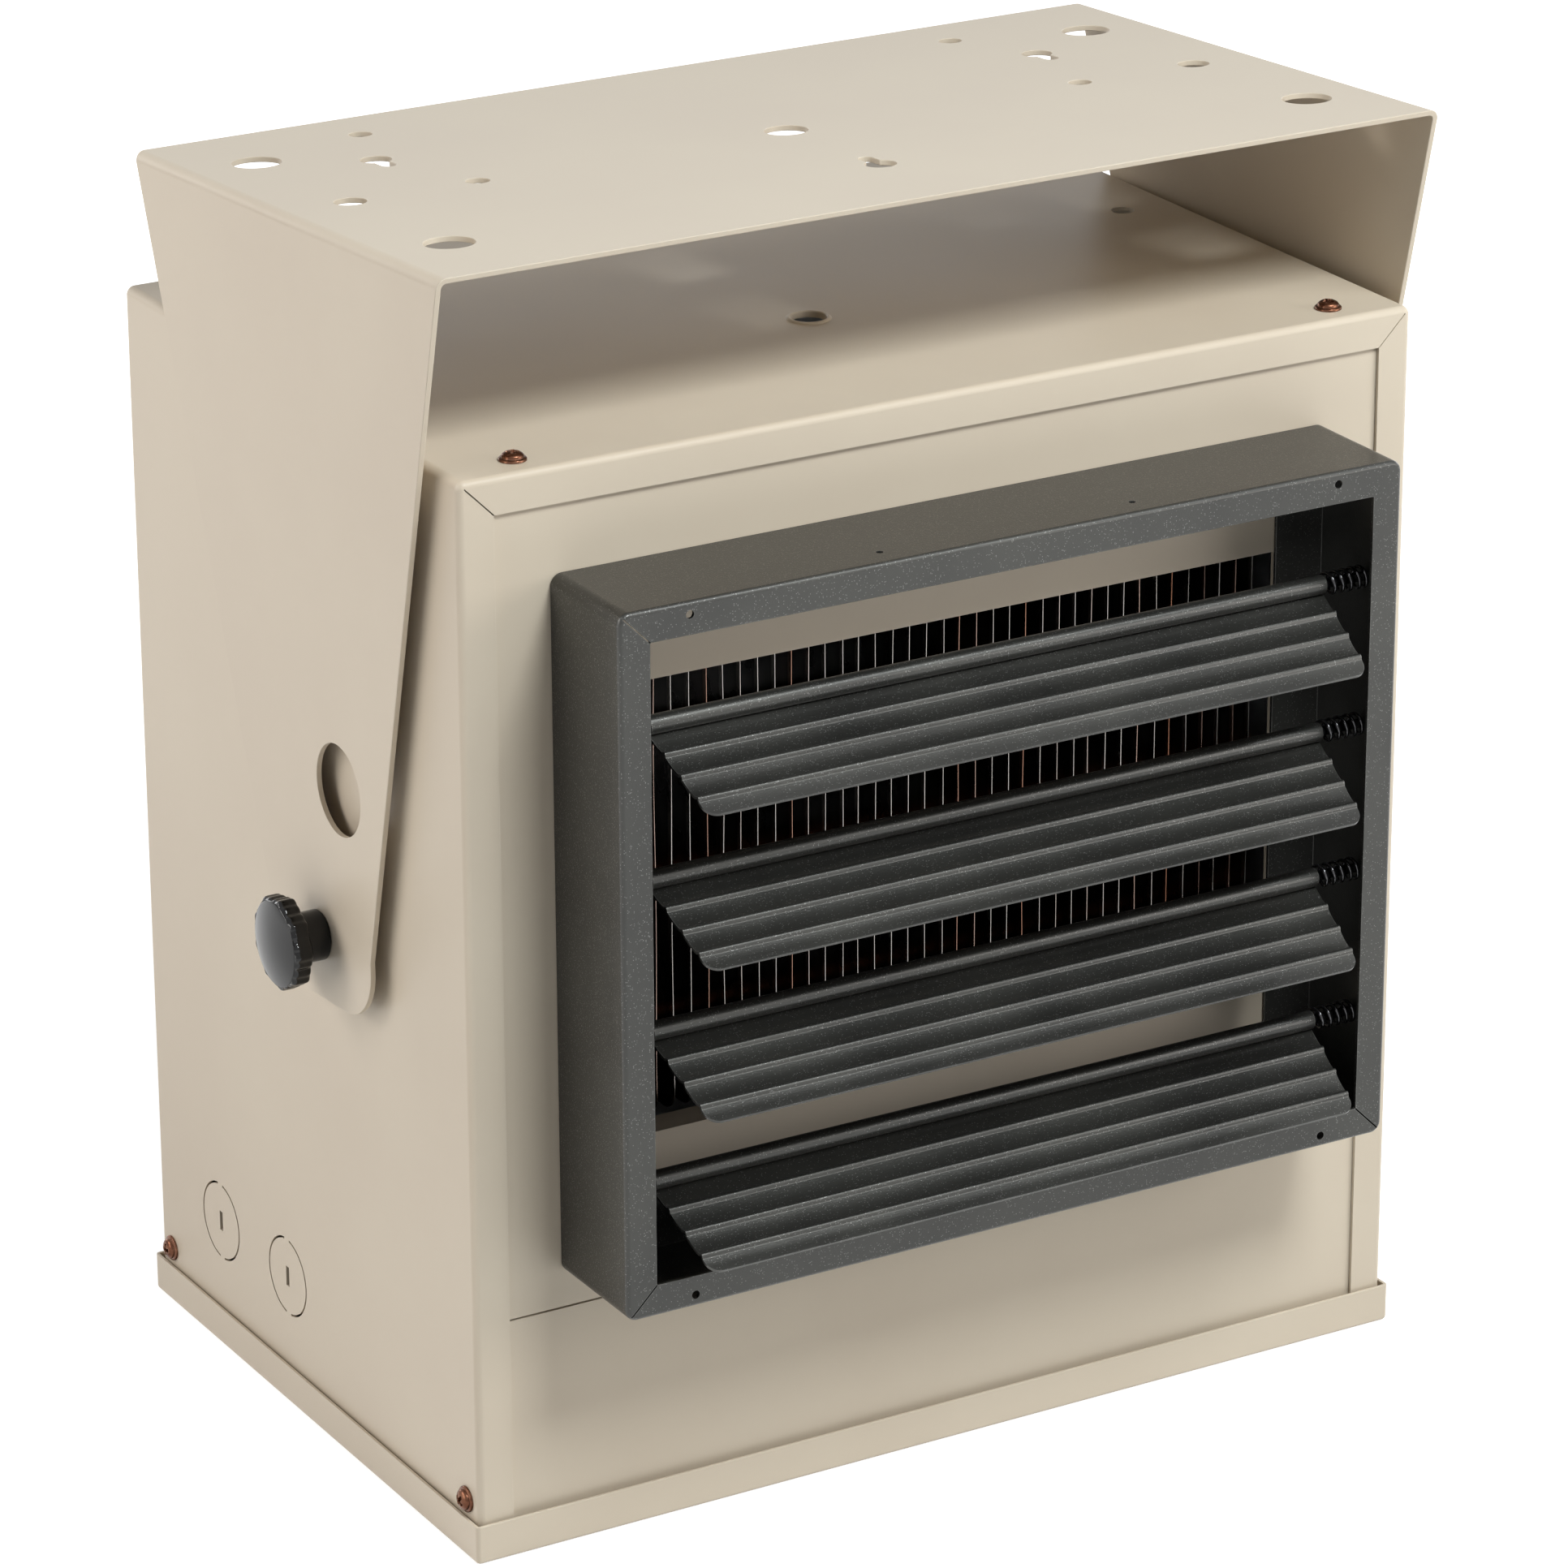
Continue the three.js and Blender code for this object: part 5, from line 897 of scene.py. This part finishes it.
# %% Fins, rods and terminals
FIN_LOW, FIN_HIGH = span("heating_element")
FIN_COUNT, FIN_PITCH, FIN_CORNER, FIN_HALF = 41, 6.35, 7.0, 0.18
BOWS = np.array([0.26, 0.15, 0.12])  # usual wave, ripple and lean of a fin, in mm
rng = np.random.default_rng(7)


def fin_grids():
    """Front edge: y = corner - sqrt(corner^2 - inset^2) near both ends, a quarter circle. Sideways,
    each fin has its own lean and two waves, sin(t) and sin(3 t), that fade towards the back."""
    low, high = FIN_LOW[2], FIN_HIGH[2]
    ends = FIN_CORNER * (1 - np.cos(np.linspace(0, math.pi / 2, 7)))
    straight = np.linspace(low + FIN_CORNER, high - FIN_CORNER, 15)[1:-1]
    z = np.concatenate([low + ends, straight, (high - ends)[::-1]])
    inset = np.clip(FIN_CORNER - np.minimum(z - low, high - z), 0, FIN_CORNER)
    edge = FIN_LOW[1] + 0.05 + FIN_CORNER - np.sqrt(FIN_CORNER ** 2 - inset ** 2)
    wave, ripple, lean = rng.normal(size=(3, FIN_COUNT, 1)) * BOWS[:, None, None]
    t = (z - low) / (high - low) * math.pi
    sway = wave * np.sin(t) + ripple * np.sin(3 * t + rng.uniform(0, 3, (FIN_COUNT, 1))) + lean
    into, thick = np.array([0, 0.12, 0.5, 4.0, 37.9]), np.array([0.4, 0.85, 1, 1, 1]) * FIN_HALF
    y = np.minimum(edge[:, None] + into, FIN_HIGH[1])
    y = np.broadcast_to(y, (FIN_COUNT, *y.shape))
    middle = ((np.arange(FIN_COUNT) - FIN_COUNT // 2) * FIN_PITCH)[:, None, None]
    x = middle + sway[..., None] * (1 - into / into[-1])
    tall = np.broadcast_to(z[:, None], y.shape)
    return np.stack([x + thick, y, tall], -1), np.stack([x - thick, y, tall], -1)


fins = merge(*[sheet_solid(right, left) for right, left in zip(*fin_grids())])
ROD_Y, ROD_GAP, TUBE_HALF, TUBE_SIZE, PIN_SIZE = 34, 50, 153, 8, 3.6
rod_heights = (FIN_LOW[2] + FIN_HIGH[2]) / 2 + np.array([-ROD_GAP, 0, ROD_GAP])
pin_start, pin_end = TUBE_HALF - 1, FIN_HIGH[0] - 0.2
tubes = merge(*[rod("x", -TUBE_HALF, TUBE_HALF, ROD_Y, z, TUBE_SIZE, 32) for z in rod_heights])
pins = merge(*[rod("x", s * pin_start, s * pin_end, ROD_Y, z, PIN_SIZE, 20)
               for z in rod_heights for _, s in SIDES])
print(FIN_COUNT, "fins of", len(fins[0]) // FIN_COUNT, "points on", len(rod_heights), "tubes")

# %% [markdown]
# Hot brazing leaves every fin a slightly different tint, from silver to straw and copper. The
# material finds the fin it is on by rounding x / pitch, and a White Noise of that number picks the
# tint, so no fin needs a material of its own. Behind the front edge the colour is painted ten times
# darker, a painted shade for the narrow gaps between the fins.

# %% Fin material
FIN = finish("fin_steel", (176, 172, 168), (206, 203, 200), 0.3, metal=1.0, coarse=60, spread=0.08,
             relief=0.1)
tree = FIN.node_tree
place = tree.nodes.new("ShaderNodeSeparateXYZ")
give(tree, place.inputs[0], coordinates(tree))
number = maths(tree, "ROUND", maths(tree, "DIVIDE", place.outputs[0], FIN_PITCH / 1000))
pick = tree.nodes.new("ShaderNodeTexWhiteNoise")
pick.noise_dimensions = "1D"
give(tree, pick.inputs["W"], number)
SILVER, COPPER = linear((255, 253, 250)), linear((222, 150, 112))
tint = mixed(tree, remap(tree, pick.outputs["Value"], 0.6, 1.0), SILVER, COPPER)
fin_front = (FIN_LOW[1] + FRONT) / 1000
# Painted shade: the colour falls to a tenth just behind the front edge, where the gaps between fins lie
# in shade.
scale = remap(tree, place.outputs[1], fin_front + 0.0003, fin_front + 0.0025, 1.0, 0.1)
base = tree.nodes["Principled BSDF"].inputs["Base Color"]
toned = vector_maths(tree, "MULTIPLY", base.links[0].from_socket, tint)["Vector"]
give(tree, base, vector_maths(tree, "SCALE", toned, scale)["Vector"])
piece("fin_bank", fins, FIN, "cabinet", ["heating_element"], smooth=30)
piece("element_tubes", tubes, TUBE, "cabinet", smooth=60)
piece("element_terminals", pins, STEEL, "cabinet", smooth=60)

# %% [markdown]
# ## Clamping knobs
# A moulded head with nine shallow lobes for the fingers, fine flutes for grip and a smooth dome in
# front, on a slim hub, with a steel stud into the cabinet. A lathe alone would make it round, so the
# radius also swings with the angle where the rim is, and not on the hub or the dome.

# %% Knobs
KNOB_LOBES, LOBE_DEPTH, FLUTES, FLUTE_DEPTH = 9, 1.0, 27, 0.45
DOME, DOME_RISE, RIM_BACK, RIM_FRONT = 14.5, 2.2, 9.9, 16.7
KNOB_STEPS, STUD = 270, 7.6


def knob_head():
    """Rows of (r, x, share). The radius is r - share * depth * (1 - cos(n a)) / 2, for the lobes and
    again for the flutes. The dome's rows follow x = rim + rise (1 - (r / dome)^2)."""
    hub = [(0, 0.3, 0), (8.0, 0.3, 0), (8.35, 0.4, 0), (8.5, 0.75, 0), (8.5, 8.8, 0), (8.7, 9.5, 0),
           (9.4, 9.85, 0), (10.4, RIM_BACK, 0)]
    rim = [(13.6, RIM_BACK, 0.5), (14.8, 10.05, 0.9), (15.5, 10.45, 1), (15.88, 11.1, 1),
           (16.0, 12.0, 1), (16.0, 14.9, 1), (15.9, 15.7, 1), (15.6, 16.3, 1), (15.15, 16.65, 0.9),
           (14.85, RIM_FRONT, 0.5), (14.62, 16.62, 0.1), (DOME, 16.5, 0)]
    r = np.array([14.38, 14.1, 13.6, 12.8, 11.5, 9.8, 7.6, 5.2, 2.6, 0])
    front = np.column_stack([r, RIM_FRONT + DOME_RISE * (1 - (r / DOME) ** 2), 0 * r])
    r, x, share = np.vstack([hub, rim, front]).T[..., None]
    a = whole_turn(KNOB_STEPS)
    swell = LOBE_DEPTH * (1 - np.cos(KNOB_LOBES * a)) + FLUTE_DEPTH * (1 - np.cos(FLUTES * a))
    r = np.maximum(r - share * swell / 2, 0)
    return welded(loft(np.stack(np.broadcast_arrays(x, r * np.cos(a), r * np.sin(a)), -1)))


head = moved(knob_head(), (ARM, 0, 0))
stud = rod("x", span("knob_right")[0][0], ARM + 1, 0, 0, STUD, 32)
for where, s in SIDES:
    turn = turning("Z", 0 if s > 0 else math.pi)
    piece(f"knob_head_{where}", moved(head, TILT_PIVOT, turn), KNOB, f"{where}_knob", [f"knob_{where}"],
          smooth=50)
    piece(f"knob_stud_{where}", moved(stud, TILT_PIVOT, turn), STEEL, f"{where}_knob", edge=0.4)

# %% [markdown]
# ## Screws
# Fourteen sheet metal screws with a domed washer head and a cross recess, each stopped at an angle of
# its own. One solid serves them all. The dome is part of a sphere and the cross is pressed into it.

# %% Screw solid
SCREW_STEPS = 64
DOME_RADIUS, DOME_HEIGHT, WASHER = 3.75, 2, 1
CROSS_DEPTH, CROSS_HALF, CROSS_REACH = 1.25, 0.62, 2.15


def screw_solid():
    """Dome: y = -(washer + height sqrt(1 - (r / radius)^2)), pressed in by the depth times the cross,
    which is 1 where the lesser of |x| and |z| is under half an arm's width and the greater is under
    its reach, and fades out over a narrow slope."""
    a = whole_turn(SCREW_STEPS)
    r = np.concatenate([np.linspace(0, 2.6, 14), np.linspace(2.8, 3.55, 5)])[:, None]
    x, z = r * np.cos(a), r * np.sin(a)
    arm, reach = np.minimum(np.abs(x), np.abs(z)), np.maximum(np.abs(x), np.abs(z))
    cross = np.clip((CROSS_HALF - arm) / 0.16, 0, 1) * np.clip((CROSS_REACH - reach) / 0.3, 0, 1)
    dome = DOME_HEIGHT * np.sqrt(1 - (r / DOME_RADIUS) ** 2)
    head = np.stack([x, CROSS_DEPTH * cross - WASHER - dome, z], -1)
    shank = [(3.62, -0.95), (4.3, -0.8), (4.48, -0.6), (4.5, 0), (1.9, 0), (1.9, 7), (0, 8.9)]
    return welded(loft(np.concatenate([head, lathe_loops(shank, SCREW_STEPS)])))


screw = screw_solid()
print("screw of", len(screw[0]), "points")


# %% Where the screws sit
FACING = {"top": turning("X", -math.pi / 2), "left": turning("Z", -math.pi / 2),
          "right": turning("Z", math.pi / 2), "rear": turning("Z", math.pi)}
GUARD_SCREW_RADIUS, EAR_ANGLES = 133.95, np.radians((45, 135, 225, 315))
SIDE_SCREW_Z, REAR_SCREW_Z, OFF = 19.4, 48.4, 0.1
WIRE_Y = span("rear_panel")[1][1] + 1.6  # middle of the guard's wires
screws = {f"top_screw_{where}": ("top", (s * TOP_SCREW_X, TOP_SCREW_Y, HEIGHT + OFF))
          for where, s in SIDES}
for where, s in SIDES:
    for at, y in zip(("front", "rear"), TAB_Y):
        screws[f"side_screw_{where}_{at}"] = (where, (s * (HALF + OFF), y, SIDE_SCREW_Z))
    for level, z in (("lower", REAR_SCREW_Z), ("upper", HEIGHT - REAR_SCREW_Z)):
        screws[f"rear_screw_{where}_{level}"] = ("rear", (s * (HALF - FLANGE / 2), DEPTH + OFF, z))
for i, a in enumerate(EAR_ANGLES, 1):
    across, up = GUARD_SCREW_RADIUS * math.cos(a), GUARD_SCREW_RADIUS * math.sin(a)
    screws[f"guard_screw_{i}"] = ("rear", (across, WIRE_Y, FAN_AXIS[2] + up))
for i, (name, (facing, place)) in enumerate(screws.items()):
    spun = moved(screw, turn=turning("Y", 0.4 + 0.9 * i))
    piece(f"{name}_head", moved(spun, place, FACING[facing]), SCREW, "cabinet", [name], smooth=45)

# %% [markdown]
# ## Wire guard
# Five rings and four spokes of black wire, spot welded to a middle plate, with a flattened ear at the
# end of each spoke. A ring is a small circle turned about the axis, which closes on itself exactly.

# %% Guard
WIRE, MIDDLE, OUTER_RING, RINGS = 2.5, 33, 123.4, 5
EAR_RADIUS, EAR_WIDTH, EAR_HOLE, SPOKE_END = 134, 12.6, 4.6, 129
PLATE_FRONT, PLATE_BACK = WIRE_Y - 1.3, WIRE_Y - 0.1
b = whole_turn(WIRE_SIDES)
section = WIRE / 2 * np.column_stack([np.cos(b), np.sin(b)])
wires = [turned(section + (r, WIRE_Y), 96, ring=True)
         for r in np.linspace(MIDDLE, OUTER_RING, RINGS + 1)[1:]]
ear = carve(rod("y", PLATE_FRONT, PLATE_BACK, EAR_RADIUS, 0, EAR_WIDTH),
            ("DIFFERENCE", rod("y", WIRE_Y - 4, WIRE_Y + 4, EAR_RADIUS, 0, EAR_HOLE, 24)))
spoke = rod("x", MIDDLE - 3, SPOKE_END, WIRE_Y, 0, WIRE, WIRE_SIDES)
wires += [moved(part, turn=turning("Y", -a)) for a in EAR_ANGLES for part in (ear, spoke)]
wires.append(turned([(0, PLATE_FRONT), (MIDDLE - 0.3, PLATE_FRONT), (MIDDLE, PLATE_FRONT + 0.3),
                     (MIDDLE, PLATE_BACK - 0.3), (MIDDLE - 0.3, PLATE_BACK), (0, PLATE_BACK)]))
guard = moved(merge(*wires), (0, 0, FAN_AXIS[2]))
piece("guard_wires", guard, BLACK_WIRE, "cabinet", ["fan_guard"], smooth=50)


# %% [markdown]
# ## Propeller
# Five pressed aluminium blades on a dished spider. A fan blade widens towards the tip, is steeper at
# the root than at the tip, and is hollowed across: three simple curves over a grid of span and chord.

# %% Propeller
FAN_BLADES, ROOT, TIP, FAN_SHEET, SET_BACK = 5, 25, 112, 1.5, 8
ROOT_PITCH, TIP_PITCH, ROOT_CHORD, CHORD_GROWTH, CAMBER = 38, 22, 46, 50, 6


def fan_blade(turn):
    """At a share t along the span and c across: the pitch falls evenly, and the chord is its root's
    plus growth sin(90 t). The point is swung round by c * chord * cos(pitch) / radius and lifted by
    c * chord * sin(pitch), and the camber adds a parabola across that grows with t."""
    t, c = np.linspace(0, 1, 19)[:, None], np.linspace(-0.5, 0.5, 15)[None, :]
    radius, pitch = ROOT + (TIP - ROOT) * t, np.radians(ROOT_PITCH + (TIP_PITCH - ROOT_PITCH) * t)
    chord = c * (ROOT_CHORD + CHORD_GROWTH * np.sin(t * math.pi / 2))
    swing = turn + chord * np.cos(pitch) / np.maximum(radius, 29)
    lift = chord * np.sin(pitch) + CAMBER * (1 - 4 * c ** 2) * t
    r = radius * (1 - 0.1 * c ** 2 * t)
    x, z = r * np.cos(swing), r * np.sin(swing)
    return sheet_solid(*[np.stack([x, lift + side * FAN_SHEET / 2, z], -1) for side in (1, -1)])


dish = [(4.4, -4), (24, -4), (26.5, -3), (28.5, -0.5), (29, 4), (27.6, 4), (26.8, 0.6), (23, 0),
        (10, 0), (10, 17), (9, 18), (4.4, 18)]
spider = turned(dish, 72, ring=True)
propeller = merge(*[fan_blade(turn) for turn in whole_turn(FAN_BLADES)])
hub = (0, span("fan_shroud")[0][1] + SHEET + SET_BACK, FAN_AXIS[2])
piece("fan_blades", moved(propeller, hub), ALUMINIUM, "fan", ["fan_propeller"], edge=0.3, smooth=40)
piece("fan_spider", moved(spider, hub), ALUMINIUM, "fan", smooth=40)

# %% [markdown]
# ## Motor
# A round can with two stepped end bells, held at the back by the rear panel. One turned profile.

# %% Motor
bells = [(4.4, 17), (4.4, 0), (10.2, 0), (11, 0.8), (11, 4), (29, 6.6), (36, 9), (39, 11.6),
         (39, 15), (40, 15.4), (42, 16), (42, 50), (41.4, 50.8), (39, 51), (39, 55), (36, 59),
         (30, 63.8), (0, 63.8), (0, 17)]
can = moved(turned(bells, 96), (0, span("fan_motor")[0][1], FAN_AXIS[2]))
piece("motor_can", can, ENAMEL, "cabinet", ["fan_motor"], edge=0.2, smooth=40)

# %% [markdown]
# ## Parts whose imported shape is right
# Flat panels, rods, nuts and the controls need no new shape, only their finish and soft edges.

# %% Kept parts
KEPT = {
    PAINT: ["outlet_panel", "access_panel", "rear_panel"],
    ZINC: ["chamber_deck", "fan_shroud", "element_end_plate_left", "element_end_plate_right"],
    BLACK_WIRE: [f"pivot_rod_{i}" for i in BLADES],
    KNOB: ["pivot_spacer_left", "pivot_spacer_right"],
    STEEL: ["clinch_nut_left", "clinch_nut_right", "motor_shaft", "ground_lug"],
    PHENOLIC: ["terminal_block", "contactor", "thermal_cutout"],
    WINDING: ["control_transformer"],
}
for material, names in KEPT.items():
    for node in (frame["nodes"][name] for name in names):
        node.data.materials.clear()
        node.data.materials.append(material)
        soften(node, 0.15)
print("kept", sum(len(names) for names in KEPT.values()), "packed parts")

# %% [markdown]
# ## Floor and background
# The photograph is a product picture on white. More light would bleach the paint, so the white comes
# from what the rays meet instead: rays from the camera, and those that a glossy or clear surface
# sends on, find a glowing floor and a white world, while the lamps alone light the object. Near the
# heater the floor glows less, so it keeps the heater's shadow.

# %% Floor and world
def seen_rays(tree):
    """1 for rays from the camera, a mirror or glass, and 0 for diffuse and shadow rays."""
    path = tree.nodes.new("ShaderNodeLightPath").outputs
    mirrored = maths(tree, "MAXIMUM", path["Is Glossy Ray"], path["Is Transmission Ray"])
    return maths(tree, "MAXIMUM", path["Is Camera Ray"], mirrored)


FLOOR_HALF, FLOOR_GREY, NEAR_GLOW, WORLD_FILL = 8, 0.7, 0.7, 0.02
floor_edge = flat(rectangle(-FLOOR_HALF, FLOOR_HALF, -FLOOR_HALF, FLOOR_HALF, 1), "z", 0)
floor = plain_object("floor", (floor_edge, [np.arange(len(floor_edge))[None]]))
pale = bpy.data.materials.new("pale_floor")
pale.use_nodes = True
tree, shader = pale.node_tree, pale.node_tree.nodes["Principled BSDF"].inputs
shader["Base Color"].default_value = (FLOOR_GREY, FLOOR_GREY, FLOOR_GREY, 1)
shader["Roughness"].default_value = 0.6
shader["Emission Color"].default_value = (1, 1, 1, 1)
distance = vector_maths(tree, "LENGTH", coordinates(tree))["Value"]
glow = remap(tree, distance, 0.5, 1.3, NEAR_GLOW, 1.0)
give(tree, shader["Emission Strength"], maths(tree, "MULTIPLY", seen_rays(tree), glow))
floor.data.materials.append(pale)

world = bpy.data.worlds.new("studio")
world.use_nodes = True
tree, sky = world.node_tree, world.node_tree.nodes["Background"].inputs
give(tree, sky["Strength"], maths(tree, "MAXIMUM", seen_rays(tree), WORLD_FILL))
sky["Color"].default_value = (1, 1, 1, 1)
bpy.context.scene.world = world
print("floor", 2 * FLOOR_HALF, "m wide, white world")

# %% [markdown]
# ## Lamps
# Soft boxes, given by where they stand: an angle round the heater from its front, a height above the
# horizon and a distance. Their levels were fitted so that each painted wall, seen from the camera,
# comes out as bright as in the photograph: a small hard one high in front draws the shadows, a large
# one at the left lights the side wall, and the rest fill in.

# %% Soft boxes
AIM = Vector((0, 0, 0.25))
UNIT = 30  # watts for a level of 1
WARM, COOL = (1, 0.965, 0.94), (0.96, 1, 1.01)


def softbox(name, azimuth, elevation, distance, size, level, colour=(1, 1, 1)):
    """Place: distance times (sin az cos el, -cos az cos el, sin el) from the heater's middle."""
    az, el = math.radians(azimuth), math.radians(elevation)
    way = Vector((math.sin(az) * math.cos(el), -math.cos(az) * math.cos(el), math.sin(el)))
    light = bpy.data.lights.new(name, "AREA")
    light.shape, light.size, light.size_y = "RECTANGLE", *size
    light.energy, light.color = level * UNIT, colour
    lamp = bpy.data.objects.new(name, light)
    lamp.location = AIM + way * distance
    lamp.rotation_mode = "QUATERNION"
    lamp.rotation_quaternion = (-way).to_track_quat("-Z", "Y")
    bpy.context.scene.collection.objects.link(lamp)
    print(f"{name}: {light.energy:.1f} W")


softbox("front_right", 45, 15, 2.2, (1.2, 0.9), 0.48, WARM)
softbox("front_high", 35, 48, 2.0, (0.9, 0.6), 0.22, COOL)
softbox("front_key", 10, 50, 2.0, (0.55, 0.55), 0.98, COOL)
softbox("left_high", -110, 30, 2.0, (0.9, 0.9), 0.46, WARM)
softbox("left_low", -90, 12, 2.2, (1.0, 1.0), 0.32, WARM)
softbox("rear_right", 105, 9, 2.2, (1.0, 0.6), 0.2)
softbox("rear_left", -165, 9, 2.2, (1.0, 0.6), 0.2)

# %% [markdown]
# ## Camera
# It stands where the photographer's camera stood. The cabinet's edges in the picture gave its
# direction and distance: a long lens, from the front left and a little above.

# %% Camera
camera_data = bpy.data.cameras.new("camera")
camera_data.lens, camera_data.sensor_width = 155.66, 36
camera_data.clip_start, camera_data.clip_end = 0.05, 50
camera = bpy.data.objects.new("camera", camera_data)
bpy.context.scene.collection.objects.link(camera)
RIGHT, UP = (0.86361, -0.50415, -0.00306), (0.18627, 0.31342, 0.93116)
BACK = (-0.46849, -0.80473, 0.36459)
EYE = (-1.079376, -1.746646 + FRONT / 1000, 1.040445)
stand = Matrix((RIGHT, UP, BACK)).transposed().to_4x4()
stand.translation = Vector(EYE)
camera.matrix_world = stand
bpy.context.scene.camera = camera
bpy.context.scene.view_settings.view_transform = "Standard"
print("camera", round(Vector(EYE).length, 2), "m away, lens", camera_data.lens, "mm")
